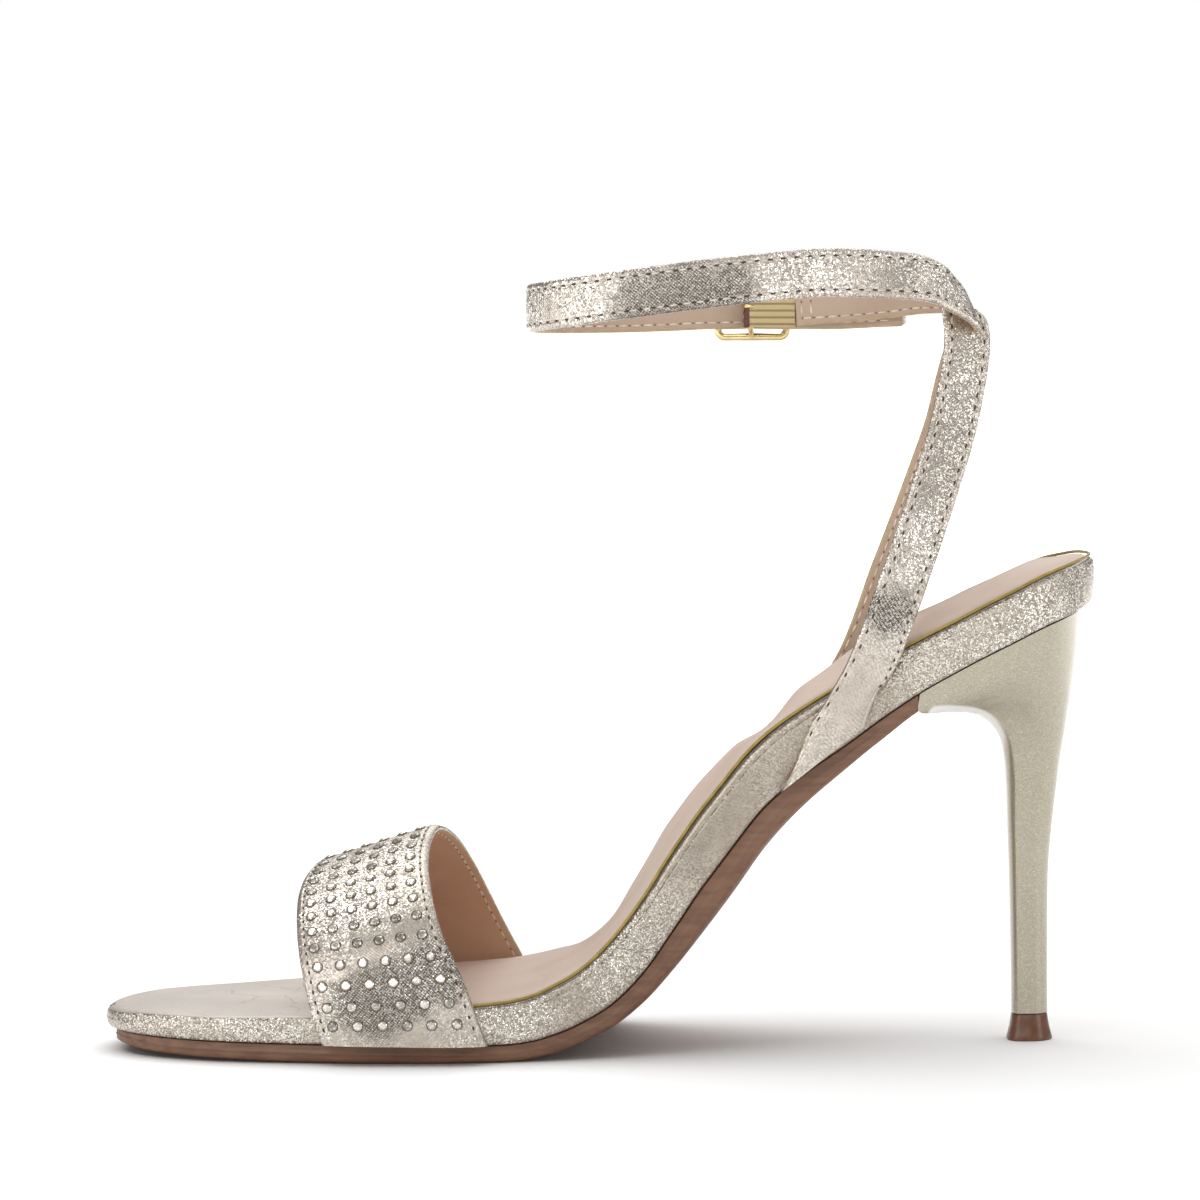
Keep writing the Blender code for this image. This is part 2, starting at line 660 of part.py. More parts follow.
def vamp_normal(around, share):
    """Return the outward direction of the vamp strap's wall."""
    small = 0.02
    last = VAMP_STEPS[-1]
    round_a = vamp_point(max(0.0, around - small * 5), share)[0]
    round_b = vamp_point(min(last, around + small * 5), share)[0]
    fore = vamp_point(around, max(0.0, share - small))[0]
    aft = vamp_point(around, min(1.0, share + small))[0]
    return (aft - fore).cross(round_b - round_a).normalized()


def vamp_distances(count=281):
    """Return even places around the vamp strap and their distances along its middle."""
    places = even(0.0, VAMP_STEPS[-1], count)
    distances = [0.0]
    for a, b in zip(places, places[1:]):
        distances.append(distances[-1] + (vamp_point(b, 0.5)[0] - vamp_point(a, 0.5)[0]).length)
    return places, distances


def make_vamp(material):
    """Make the vamp strap as a hollow band whose outer face carries rows of raised stones."""
    places, distances = vamp_distances()
    total = distances[-1]
    rows = int((total - 2 * STONE_PITCH) / STONE_PITCH) + 1
    first = (total - (rows - 1) * STONE_PITCH) / 2
    half = STONE_WIDTH / 2
    lines = [(0.0, False)]
    for row in range(rows):
        centre = first + row * STONE_PITCH
        lines += [(centre - half, False), (centre, True), (centre + half, False)]
    lines.append((total, False))
    columns = even(STONE_FIRST, STONE_LAST, STONE_COLUMNS)

    bm = bmesh.new()
    outer, inner = [], []
    for distance, stone_row in lines:
        around = steady(distances, places, distance)
        width = (vamp_point(around, 1.0)[0] - vamp_point(around, 0.0)[0]).length
        shares = [(0.0, False)]
        for column in columns:
            shares += [(column - half / width, False), (column, True), (column + half / width, False)]
        shares.append((1.0, False))
        strip = []
        for share, stone_column in shares:
            normal = vamp_normal(around, share)
            lift = VAMP_THICK + (STONE_HEIGHT if stone_row and stone_column else 0.0)
            strip.append(bm.verts.new(vamp_point(around, share)[0] + normal * lift))
        outer.append(strip)
        inner.append([bm.verts.new(vamp_point(around, share)[0]) for share in even(0.0, 1.0, 5)])
    for grid in (outer, inner):
        for one, two in zip(grid, grid[1:]):
            for i in range(len(one) - 1):
                bm.faces.new((one[i], one[i + 1], two[i + 1], two[i]))
    for i in range(len(outer) - 1):
        for end in (0, -1):
            bm.faces.new((outer[i][end], outer[i + 1][end], inner[i + 1][end], inner[i][end]))
    for end in (0, -1):
        bm.faces.new(outer[end] + inner[end][::-1])
    return make_object("vamp_strap", bm, material)


def loop_plan(turn):
    """Return the ankle's plan curve at a turn in degrees, 0 at the back, positive on the outer side."""
    angle = math.radians(turn)
    x = LOOP_BACK * LENGTH - LOOP_LENGTH * (1 - math.cos(angle)) / 2
    y = LOOP_HALF * math.sin(angle) * (1 - LOOP_EGG * math.cos(angle))
    return Vector((x, y))


def loop_out(turn):
    """Return the outward direction of the ankle's plan curve."""
    along = loop_plan(turn + 1.0) - loop_plan(turn - 1.0)
    return Vector((along.y, -along.x, 0)).normalized()


def strap_foot(side):
    """Return the height of the sole's seam where a quarter strap starts."""
    return feather(STRAP_BASE * LENGTH) - drop_at(STRAP_BASE * LENGTH, 0.0 if side < 0 else 1.0)


def strap_height(side, up):
    """Return a strap's height from its share, counted from the inner strap's foot above the waist."""
    blend = min(1.0, max(0.0, up * 3))
    foot = strap_foot(side) * (1 - blend) + strap_foot(-1) * blend
    return foot + up * STRAP_RISE


def strap_places(rows, side):
    """Return (point, outward, width, skew) for a strap's rows between the sole and the ankle."""
    places = []
    for row in rows:
        x = row.along * LENGTH
        reach = row.out * (half_width(x, side) + WALL_CLEARANCE + STRAP_THICK / 2)
        face, lean = math.radians(row.face), math.radians(row.lean)
        level = Vector((math.sin(face), side * math.cos(face), 0))
        outward = level * math.cos(lean) + Vector((0, 0, math.sin(lean)))
        point = world(x, side * reach, strap_height(side, row.up))
        places.append((point, outward, row.width * STRAP_WIDTH, -side * math.radians(row.skew)))
    return places


def loop_places(rows, side):
    """Return (point, outward, width, skew) for a strap's rows round the ankle."""
    places = []
    for row in rows:
        turn = -side * row.turn
        spot = loop_plan(turn)
        outward = loop_out(turn)
        point = world(spot.x, spot.y, strap_height(-1, row.up)) + outward * (row.over * STRAP_THICK)
        places.append((point, outward, STRAP_WIDTH, 0.0))
    return places


def band_rings(places, count, thick):
    """Return the rings of a flat band through its places."""
    knots = [0.0]
    for one, two in zip(places, places[1:]):
        knots.append(knots[-1] + (two[0] - one[0]).length)
    columns = list(zip(*places))
    marks = even(0.0, knots[-1], count)
    points = [flowing(knots, columns[0], mark) for mark in marks]
    rings = []
    for i, mark in enumerate(marks):
        tangent = (points[min(i + 1, count - 1)] - points[max(i - 1, 0)]).normalized()
        outward = flowing(knots, columns[1], mark).normalized()
        across = outward.cross(tangent).normalized()
        outward = tangent.cross(across).normalized()
        skew = flowing(knots, columns[3], mark)
        across = Matrix.Rotation(skew, 3, outward) @ across
        half = flowing(knots, columns[2], mark) / 2
        edge, corner = thick / 2, thick * 0.2
        outline = [
            (-half, -edge + corner), (-half + corner, -edge), (half - corner, -edge), (half, -edge + corner),
            (half, edge - corner), (half - corner, edge), (-half + corner, edge), (-half, edge - corner),
        ]
        rings.append([points[i] + across * a + outward * b for a, b in outline])
    return rings


def buckle_axes():
    """Return the buckle's centre on the ankle's surface and its axes: heelward, up and outward."""
    spot = loop_plan(BUCKLE_TURN)
    outward = loop_out(BUCKLE_TURN)
    up = Vector((0, 0, 1))
    heelward = up.cross(outward).normalized()
    if heelward.x < 0:
        heelward.negate()
    return world(spot.x, spot.y, strap_height(-1, BUCKLE_UP)), heelward, up, outward


def buckle_spot(reach, out, rise):
    """Return a point by the buckle, measured heelward along the ankle, outward and up."""
    turn = turn_at(reach)
    spot = loop_plan(turn)
    return world(spot.x, spot.y, strap_height(-1, BUCKLE_UP) + rise) + loop_out(turn) * out


# How far the long strap's middle lies outside the ankle's surface where the buckle guides it
CENTRE_OUT = CENTRE_BAR_OUT + BUCKLE_THICK / 2 + GAP + ELASTIC_PLY + GAP + STRAP_THICK / 2
TAIL_OUT = STRAP_THICK + GAP * 1.5
FRONT_OUT = 0.5 * STRAP_THICK
FRONT_BAR_OUT = FRONT_OUT + STRAP_THICK / 2 + GAP + BUCKLE_THICK / 2
BACK_BAR_OUT = TAIL_OUT + STRAP_THICK / 2 + GAP + BUCKLE_THICK / 2
BAR_REACH = (BUCKLE_LENGTH - BUCKLE_BAR) / 2


def turn_at(reach):
    """Return the turn on the outer side at a distance heelward of the buckle's middle."""
    x = loop_plan(BUCKLE_TURN).x + reach
    share = 1 - 2 * (LOOP_BACK * LENGTH - x) / LOOP_LENGTH
    return math.degrees(math.acos(min(1.0, max(-1.0, share))))


def buckled_rows():
    """Return the long strap's rows from the front of the buckle to the end of its tail."""
    stops = [
        (-BAR_REACH - 0.0025, FRONT_OUT * 0.7),
        (-BAR_REACH, FRONT_OUT),
        (-BAR_REACH * 0.5, (FRONT_OUT + CENTRE_OUT) / 2),
        (0.0, CENTRE_OUT),
        (BAR_REACH * 0.5, (TAIL_OUT + CENTRE_OUT) / 2),
        (BAR_REACH, TAIL_OUT),
        (BAR_REACH + 0.003, TAIL_OUT),
    ]
    rows = []
    for reach, out in stops:
        rows.append(LoopRow(360 - turn_at(reach), BUCKLE_UP, out / STRAP_THICK))
    last = turn_at(BAR_REACH + 0.003)
    for share, up in ((0.35, 0.924), (0.7, 0.934), (1.0, 0.943)):
        turn = 360 - last + share * (TAIL_TURN - 360 + last)
        rows.append(LoopRow(turn, up, TAIL_OUT / STRAP_THICK))
    return rows


def cut_slot(thing, name, front, back):
    """Cut the prong's slot through a band, from front to back of the centre bar."""
    centre, heelward, up, outward = buckle_axes()
    half_sizes = ((front + back) / 2, PRONG_RADIUS + PRONG_PLAY, BUCKLE_HEIGHT / 2)
    guide = box_guide(name, centre + heelward * ((back - front) / 2), (heelward, up, outward), half_sizes)
    add_boolean(thing, guide, "DIFFERENCE")


def make_straps(material):
    """Make both ankle straps as one solid, joined where the outer one crosses over behind."""
    short = strap_places(QUARTER_ROWS + UNDER_ROWS, -1) + loop_places(SHORT_LOOP_ROWS, -1)
    straps = skin("ankle_straps", band_rings(short, SHORT_STATIONS, STRAP_THICK), material)
    long = strap_places(QUARTER_ROWS + OVER_ROWS, 1) + loop_places(LONG_LOOP_ROWS + buckled_rows(), 1)
    over = skin("long_strap_guide", band_rings(long, LONG_STATIONS, STRAP_THICK), material)
    cut_slot(over, "strap_slot_guide", SLOT_FRONT, SLOT_BACK)
    hide_guide(over)
    add_boolean(straps, over, "UNION")
    return straps


def round_rings(points, side, radius, sides=8):
    """Return the rings of a round wire whose bends all lie square to side."""
    rings = []
    for i, point in enumerate(points):
        ahead, behind = points[min(i + 1, len(points) - 1)], points[max(i - 1, 0)]
        across = (ahead - behind).normalized().cross(side)
        turns = even(0, math.tau, sides + 1)[:-1]
        rings.append([point + (side * math.cos(a) + across * math.sin(a)) * radius for a in turns])
    return rings


def make_frame(material):
    """Make the buckle's frame, a ring of soft section, with its bent centre bar joined to it."""
    centre, heelward, up, outward = buckle_axes()
    tilt = (BACK_BAR_OUT - FRONT_BAR_OUT) / (2 * BAR_REACH)
    middle = (BACK_BAR_OUT + FRONT_BAR_OUT) / 2
    tall = (BUCKLE_HEIGHT - BUCKLE_BAR) / 2
    straight_reach, straight_tall = BAR_REACH - BUCKLE_CORNER, tall - BUCKLE_CORNER
    path = []
    for a, b, start in ((1, 1, 0), (-1, 1, 90), (-1, -1, 180), (1, -1, 270)):
        for angle in even(start, start + 90, 4):
            turn = math.radians(angle)
            path.append(Vector((
                straight_reach * a + BUCKLE_CORNER * math.cos(turn),
                straight_tall * b + BUCKLE_CORNER * math.sin(turn),
            )))
    rings = []
    for i, spot in enumerate(path):
        tangent = (path[(i + 1) % len(path)] - path[i - 1]).normalized()
        side = Vector((tangent.y, -tangent.x))
        ring = []
        for angle in even(0, math.tau, 9)[:-1]:
            flat = spot + side * (BUCKLE_BAR / 2 * math.cos(angle))
            lift = middle + tilt * spot.x + BUCKLE_THICK / 2 * math.sin(angle)
            ring.append(centre + heelward * flat.x + up * flat.y + outward * lift)
        rings.append(ring)
    frame = skin("buckle_frame", rings, material, closed=True)
    bend = ELASTIC_WIDTH / 2 + GAP
    stops = [(-tall, middle), (-bend, CENTRE_BAR_OUT), (bend, CENTRE_BAR_OUT), (tall, middle)]
    points = [centre + up * rise + outward * out for rise, out in stops]
    bar = skin("centre_bar_guide", round_rings(points, heelward, BUCKLE_THICK / 2), material)
    hide_guide(bar)
    add_boolean(frame, bar, "UNION")
    return frame


def make_elastic(material):
    """Make the ribbed elastic, folded round the centre bar, with the prong's slot in its fold."""
    end = loop_plan(SHORT_LOOP_ROWS[-1].turn).x - loop_plan(BUCKLE_TURN).x - GAP
    fold = BUCKLE_THICK / 2 + GAP + ELASTIC_PLY / 2
    inner, outer = CENTRE_BAR_OUT - fold, CENTRE_BAR_OUT + fold
    path = [Vector((end * share, inner * (1 - share))) for share in (1.0, 0.7, 0.4, 0.2)]
    for angle in even(270, 90, 7):
        turn = math.radians(angle)
        path.append(Vector((fold * math.cos(turn), CENTRE_BAR_OUT + fold * math.sin(turn))))
    path += [Vector((ELASTIC_RETURN * 0.4, outer * 0.92)), Vector((ELASTIC_RETURN, outer * 0.6))]
    stations = 2 * ELASTIC_RIBS + 1
    rings = []
    for i, rise in enumerate(even(-ELASTIC_WIDTH / 2, ELASTIC_WIDTH / 2, stations)):
        ply = ELASTIC_PLY * (1.0 if i % 2 else 0.7)
        near, far = [], []
        for k, spot in enumerate(path):
            along = (path[min(k + 1, len(path) - 1)] - path[max(k - 1, 0)]).normalized()
            side = Vector((along.y, -along.x)) * (ply / 2)
            near.append(buckle_spot(spot.x + side.x, spot.y + side.y, rise))
            far.append(buckle_spot(spot.x - side.x, spot.y - side.y, rise))
        rings.append(near + far[::-1])
    elastic = skin("buckle_elastic", rings, material)
    cut_slot(elastic, "elastic_slot_guide", fold * 2, ELASTIC_RETURN * 0.75)
    return elastic


def make_prong(material):
    """Make the prong, curled round the centre bar, through the strap and on to the front bar."""
    centre, heelward, up, outward = buckle_axes()
    curl = BUCKLE_THICK / 2 + GAP + PRONG_RADIUS
    tip_out = FRONT_BAR_OUT + BUCKLE_THICK / 2 + GAP + PRONG_RADIUS
    stops = []
    for angle in even(200, 450, 10):
        turn = math.radians(angle)
        stops.append((curl * math.cos(turn), CENTRE_BAR_OUT + curl * math.sin(turn)))
    top = stops[-1][1]
    for share, lift in ((0.26, 0.42), (0.52, 0.86), (0.85, 1.0), (1.1, 1.0), (1.19, 0.9)):
        stops.append((-BAR_REACH * share, top + (tip_out - top) * lift))
    points = [centre + heelward * reach + outward * out for reach, out in stops]
    return skin("buckle_prong", round_rings(points, up, PRONG_RADIUS), material)


def build():
    """Build every piece."""
    clear_scene()
    leather = make_material("sole_leather", (0.20, 0.09, 0.045), 0.55)
    wrap = make_material("metallic_wrap", (0.62, 0.56, 0.48), 0.38, 0.6)
    lining = make_material("lining", (0.68, 0.52, 0.43), 0.6)
    piping = make_material("piping", (0.42, 0.33, 0.08), 0.35, 0.3)
    paint = make_material("heel_paint", (0.50, 0.46, 0.35), 0.3, 0.6)
    gold = make_material("gold", (0.75, 0.58, 0.30), 0.25, 1.0)
    webbing = make_material("webbing", (0.62, 0.50, 0.27), 0.7)
    make_outsole(leather)
    make_board(wrap)
    make_sock(lining)
    make_piping(piping)
    make_heel(paint)
    make_tip(leather)
    make_vamp(wrap)
    make_straps(wrap)
    make_frame(gold)
    make_elastic(webbing)
    make_prong(gold)


build()
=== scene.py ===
"""Looks of a strappy high heeled sandal, a right shoe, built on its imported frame.

The frame is in metres with the floor at z = 0, the toe towards -X, the heel towards +X and the
inner side of the foot towards -Y. Every piece follows the sections of its CAD node more finely and
carries the material, stones, stitches and trim that the solids leave out.
"""

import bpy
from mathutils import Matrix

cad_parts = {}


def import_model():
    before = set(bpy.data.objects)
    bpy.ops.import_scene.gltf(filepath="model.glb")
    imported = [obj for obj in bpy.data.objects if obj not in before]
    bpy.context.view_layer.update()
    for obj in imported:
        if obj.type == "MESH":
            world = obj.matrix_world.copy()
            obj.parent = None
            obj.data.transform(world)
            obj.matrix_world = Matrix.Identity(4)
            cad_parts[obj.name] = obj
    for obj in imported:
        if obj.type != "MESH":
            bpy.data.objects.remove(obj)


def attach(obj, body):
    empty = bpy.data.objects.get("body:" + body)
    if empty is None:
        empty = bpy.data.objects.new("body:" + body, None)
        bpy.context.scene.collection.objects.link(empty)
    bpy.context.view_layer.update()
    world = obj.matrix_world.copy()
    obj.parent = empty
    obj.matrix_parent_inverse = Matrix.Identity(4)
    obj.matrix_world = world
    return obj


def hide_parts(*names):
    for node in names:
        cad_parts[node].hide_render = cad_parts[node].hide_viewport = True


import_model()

import copy
import logging
import math
from dataclasses import dataclass, field
from enum import Enum
from typing import Callable, NamedTuple, Protocol, Sequence

import bpy
import numpy as np
from mathutils import Matrix, Vector

LOG = logging.getLogger("sandal")
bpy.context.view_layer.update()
BODY = "root"
METRIC_UV = "metric"
# name of the mesh value that marks the painted reflection band on the heel's breast
PAINTED_SHEEN_MARK = "breast"
UP = Vector((0.0, 0.0, 1.0))
Height = Callable[[float], float]
Socket = bpy.types.NodeSocket
Material = bpy.types.Material
Piece = bpy.types.Object

# Whole shoe
LENGTH = 0.220
BALL_WIDTH = 0.073
WAIST_WIDTH = 0.047
SEAT_WIDTH = 0.048
HEEL_RISE = 0.0946
TOE_SPRING = 0.0034
OUTER_DROP = 0.0044
GAP = 0.0003

# Layers of the sole
SOLE_THICK = 0.0040
SOLE_INSET = 0.0016
BOARD_THICK = 0.0080
SOCK_EDGE = 0.0009
SOCK_CROWN = 0.0030
SOCK_INSET = 0.0021
SOCK_START = 0.290
PIPING_INSET = 0.0011
BREAST_ALONG = 0.8176
HEEL_SEAT_INSET = 0.0012
TIP_HEIGHT = 0.0058
TIP_FLARE = 0.0011
SHAFT_WIDTH = 0.0078

# Straps
VAMP_WIDTH = 0.0366
VAMP_THICK = 0.0018
VAMP_FRONT_HEIGHT = 0.0343
VAMP_BACK_HEIGHT = 0.0429
STRAP_WIDTH = 0.0104
STRAP_THICK = 0.0018
STRAP_RISE = 0.107
STRAP_BASE = 0.7225
WALL_CLEARANCE = 0.00045
LOOP_LENGTH = 0.1000
LOOP_BACK = 0.8880
LOOP_HALF = 0.0250
LOOP_EGG = 0.35
TAIL_TURN = 310.4

# Buckle, prong and elastic
BUCKLE_LENGTH = 0.0172
BUCKLE_BAR = 0.00175
BUCKLE_THICK = 0.0013
BUCKLE_CORNER = 0.0016
BUCKLE_PLAY = 0.0010
BUCKLE_HEIGHT = STRAP_WIDTH + 2 * BUCKLE_PLAY + 2 * BUCKLE_BAR
BUCKLE_TURN = 91.0
BUCKLE_UP = 0.9195
CENTRE_BAR_OUT = 0.0010
PRONG_RADIUS = 0.0005
ELASTIC_PLY = 0.0007
ELASTIC_WIDTH = 0.0096
ELASTIC_RIBS = 6
ELASTIC_RETURN = 0.0032
CENTRE_OUT = CENTRE_BAR_OUT + BUCKLE_THICK / 2 + GAP + ELASTIC_PLY + GAP + STRAP_THICK / 2
TAIL_OUT = STRAP_THICK + GAP * 1.5
FRONT_OUT = 0.5 * STRAP_THICK
FRONT_BAR_OUT = FRONT_OUT + STRAP_THICK / 2 + GAP + BUCKLE_THICK / 2
BACK_BAR_OUT = TAIL_OUT + STRAP_THICK / 2 + GAP + BUCKLE_THICK / 2
BAR_REACH = (BUCKLE_LENGTH - BUCKLE_BAR) / 2


class Side(Enum):
    """Side of the foot, as the sign of its y."""

    INNER = -1
    OUTER = 1


class SoleRow(NamedTuple):
    """One cross section of the sole, with shares of the named sizes."""

    along: float
    size: float
    inner: float
    outer: float
    spring: float
    rise: float
    drop: float
    sole: float
    board: float
    round: float
    puff: float


class HeelRow(NamedTuple):
    """One level of the heel, from the seat down."""

    front: float
    front_up: float
    back: float
    back_up: float
    half: float
    square: float
    bulge: float


class VampRow(NamedTuple):
    """One section around the foot of the vamp strap."""

    out: float
    rise: float
    front: float
    width: float


class StrapRow(NamedTuple):
    """One section of an ankle strap between the sole and the ankle."""

    along: float
    out: float
    up: float
    width: float
    skew: float
    face: float
    lean: float


class LoopRow(NamedTuple):
    """One point of a strap's band round the ankle."""

    turn: float
    up: float
    over: float


SOLE_ROWS = (
    SoleRow(0.000, BALL_WIDTH, 0.055, -0.055, 1.00, 0.000, 0.00, 0.49, 0.50, 0.30, 0.0),
    SoleRow(0.018, BALL_WIDTH, 0.219, 0.130, 0.62, 0.000, 0.00, 0.73, 0.60, 0.18, 0.0),
    SoleRow(0.055, BALL_WIDTH, 0.315, 0.233, 0.31, 0.000, 0.00, 0.93, 0.69, 0.12, 0.0),
    SoleRow(0.118, BALL_WIDTH, 0.400, 0.333, 0.16, 0.000, 0.00, 1.00, 0.72, 0.08, 0.0),
    SoleRow(0.209, BALL_WIDTH, 0.453, 0.419, 0.04, 0.000, 0.00, 1.05, 0.81, 0.07, 0.0),
    SoleRow(0.282, BALL_WIDTH, 0.477, 0.471, 0.00, 0.000, 0.00, 1.03, 0.90, 0.07, 0.1),
    SoleRow(0.345, BALL_WIDTH, 0.481, 0.501, 0.00, 0.000, 0.00, 0.98, 1.00, 0.07, 0.3),
    SoleRow(0.400, BALL_WIDTH, 0.463, 0.512, 0.00, 0.000, 0.00, 1.00, 1.09, 0.07, 0.4),
    SoleRow(0.427, BALL_WIDTH, 0.448, 0.508, 0.00, 0.003, 0.04, 1.05, 1.16, 0.08, 0.4),
    SoleRow(0.459, BALL_WIDTH, 0.429, 0.496, 0.00, 0.019, 0.34, 1.13, 1.30, 0.12, 0.4),
    SoleRow(0.482, BALL_WIDTH, 0.414, 0.484, 0.00, 0.039, 0.70, 1.19, 1.41, 0.18, 0.4),
    SoleRow(0.509, BALL_WIDTH, 0.399, 0.466, 0.00, 0.070, 0.85, 1.32, 1.67, 0.28, 0.25),
    SoleRow(0.541, BALL_WIDTH, 0.375, 0.442, 0.00, 0.126, 0.30, 1.65, 1.94, 0.40, 0.05),
    SoleRow(0.573, BALL_WIDTH, 0.353, 0.418, 0.00, 0.205, 0.08, 2.20, 2.08, 0.50, 0.0),
    SoleRow(0.605, WAIST_WIDTH, 0.519, 0.613, 0.00, 0.296, 0.16, 2.57, 2.04, 0.55, 0.0),
    SoleRow(0.636, WAIST_WIDTH, 0.496, 0.583, 0.00, 0.392, 0.43, 2.51, 1.99, 0.55, 0.0),
    SoleRow(0.668, WAIST_WIDTH, 0.479, 0.557, 0.00, 0.499, 1.00, 2.08, 1.84, 0.55, 0.0),
    SoleRow(0.705, WAIST_WIDTH, 0.466, 0.540, 0.00, 0.588, 0.62, 1.60, 1.75, 0.50, 0.8),
    SoleRow(0.746, WAIST_WIDTH, 0.462, 0.530, 0.00, 0.669, 0.25, 1.22, 1.66, 0.45, 0.8),
    SoleRow(0.782, WAIST_WIDTH, 0.464, 0.528, 0.00, 0.737, 0.05, 1.05, 1.54, 0.40, 0.75),
    SoleRow(0.818, SEAT_WIDTH, 0.463, 0.519, 0.00, 0.797, 0.00, 0.97, 1.41, 0.35, 0.7),
    SoleRow(0.864, SEAT_WIDTH, 0.477, 0.521, 0.00, 0.858, 0.00, 0.97, 1.34, 0.30, 0.5),
    SoleRow(0.909, SEAT_WIDTH, 0.477, 0.506, 0.00, 0.911, 0.00, 0.97, 1.34, 0.30, 0.25),
    SoleRow(0.950, SEAT_WIDTH, 0.431, 0.446, 0.00, 0.956, 0.00, 0.97, 1.35, 0.30, 0.0),
    SoleRow(0.980, SEAT_WIDTH, 0.304, 0.310, 0.00, 0.981, 0.00, 0.97, 1.32, 0.30, 0.0),
    SoleRow(1.000, SEAT_WIDTH, 0.000, 0.000, 0.00, 1.000, 0.00, 0.97, 1.20, 0.30, 0.0),
)

HEEL_ROWS = (
    HeelRow(0.8190, 1.000, 0.9890, 1.000, 0.460, 1.00, 0.00),
    HeelRow(0.8200, 0.952, 0.9850, 0.915, 0.425, 0.90, 0.03),
    HeelRow(0.8530, 0.950, 0.9805, 0.850, 0.350, 0.75, 0.08),
    HeelRow(0.8760, 0.940, 0.9775, 0.805, 0.285, 0.60, 0.10),
    HeelRow(0.8920, 0.916, 0.9745, 0.765, 0.230, 0.50, 0.12),
    HeelRow(0.9035, 0.875, 0.9710, 0.715, 0.188, 0.42, 0.10),
    HeelRow(0.9085, 0.820, 0.9670, 0.665, 0.160, 0.36, 0.06),
    HeelRow(0.9108, 0.740, 0.9625, 0.590, 0.134, 0.30, 0.03),
    HeelRow(0.9122, 0.620, 0.9575, 0.497, 0.112, 0.30, 0.00),
    HeelRow(0.9140, 0.490, 0.9538, 0.395, 0.098, 0.30, 0.00),
    HeelRow(0.9157, 0.290, 0.9528, 0.230, 0.086, 0.30, 0.00),
    HeelRow(0.9166, 0.090, 0.9528, 0.072, 0.082, 0.30, 0.00),
)

VAMP_ROWS = (
    VampRow(-1.000, 0.000, 0.2294, 0.973),
    VampRow(-1.000, 0.165, 0.2216, 0.954),
    VampRow(-1.000, 0.300, 0.2166, 0.933),
    VampRow(-0.965, 0.420, 0.2126, 0.895),
    VampRow(-0.890, 0.545, 0.2089, 0.848),
    VampRow(-0.765, 0.665, 0.2061, 0.815),
    VampRow(-0.610, 0.770, 0.2051, 0.793),
    VampRow(-0.420, 0.860, 0.2060, 0.772),
    VampRow(-0.180, 0.950, 0.2120, 0.745),
    VampRow(0.080, 1.000, 0.2237, 0.725),
    VampRow(0.370, 0.925, 0.2360, 0.745),
    VampRow(0.640, 0.775, 0.2450, 0.783),
    VampRow(0.860, 0.580, 0.2533, 0.830),
    VampRow(0.980, 0.380, 0.2610, 0.885),
    VampRow(1.020, 0.180, 0.2697, 0.945),
    VampRow(1.000, 0.000, 0.2775, 0.973),
)

QUARTER_ROWS = (
    StrapRow(0.7225, 1.02, 0.007, 2.26, 62.0, -4.0, 0.0),
    StrapRow(0.7410, 1.02, 0.097, 2.13, 64.0, -2.0, 0.0),
    StrapRow(0.7586, 1.03, 0.163, 1.74, 58.0, 0.0, 0.0),
    StrapRow(0.7720, 1.03, 0.218, 1.41, 47.0, 1.0, 0.0),
    StrapRow(0.7855, 1.05, 0.290, 1.13, 30.0, 2.0, 0.0),
    StrapRow(0.7993, 1.04, 0.371, 1.00, 6.0, 4.0, 0.0),
    StrapRow(0.8152, 0.94, 0.462, 1.00, 0.0, 6.0, 0.0),
    StrapRow(0.8343, 0.77, 0.574, 1.00, 0.0, 8.0, 0.0),
    StrapRow(0.8500, 0.60, 0.669, 1.00, 0.0, 9.0, 0.0),
    StrapRow(0.8595, 0.48, 0.745, 1.00, 0.0, 10.0, 0.0),
)
UNDER_ROWS = (
    StrapRow(0.8665, 0.38, 0.812, 1.00, 0.0, 12.0, 0.0),
    StrapRow(0.8690, 0.32, 0.862, 1.00, 0.0, 14.0, 4.0),
    StrapRow(0.8670, 0.23, 0.903, 1.00, 0.0, 28.0, 16.0),
    StrapRow(0.8610, 0.08, 0.934, 1.00, 0.0, 62.0, 34.0),
    StrapRow(0.8550, -0.12, 0.949, 1.00, 0.0, 108.0, 32.0),
    StrapRow(0.8430, -0.31, 0.954, 1.00, 0.0, 140.0, 22.0),
    StrapRow(0.8230, -0.50, 0.953, 1.00, 0.0, 154.0, 8.0),
    StrapRow(0.7950, -0.68, 0.944, 1.00, 0.0, 160.0, 3.0),
)
OVER_ROWS = (
    StrapRow(0.8670, 0.39, 0.803, 1.00, 0.0, 18.0, 0.0),
    StrapRow(0.8730, 0.28, 0.842, 1.00, 0.0, 40.0, 4.0),
    StrapRow(0.8755, 0.09, 0.872, 1.00, 0.0, 78.0, 20.0),
    StrapRow(0.8745, -0.12, 0.903, 1.00, 0.0, 108.0, 32.0),
    StrapRow(0.8677, -0.30, 0.930, 1.00, 0.0, 132.0, 38.0),
    StrapRow(0.8530, -0.46, 0.955, 1.00, 0.0, 149.0, 35.0),
    StrapRow(0.8370, -0.58, 0.978, 1.00, 0.0, 157.0, 28.0),
    StrapRow(0.8130, -0.71, 0.991, 1.00, 0.0, 162.0, 18.0),
)
SHORT_LOOP_ROWS = (LoopRow(66.0, 0.935, 0.0), LoopRow(79.0, 0.928, 0.0))
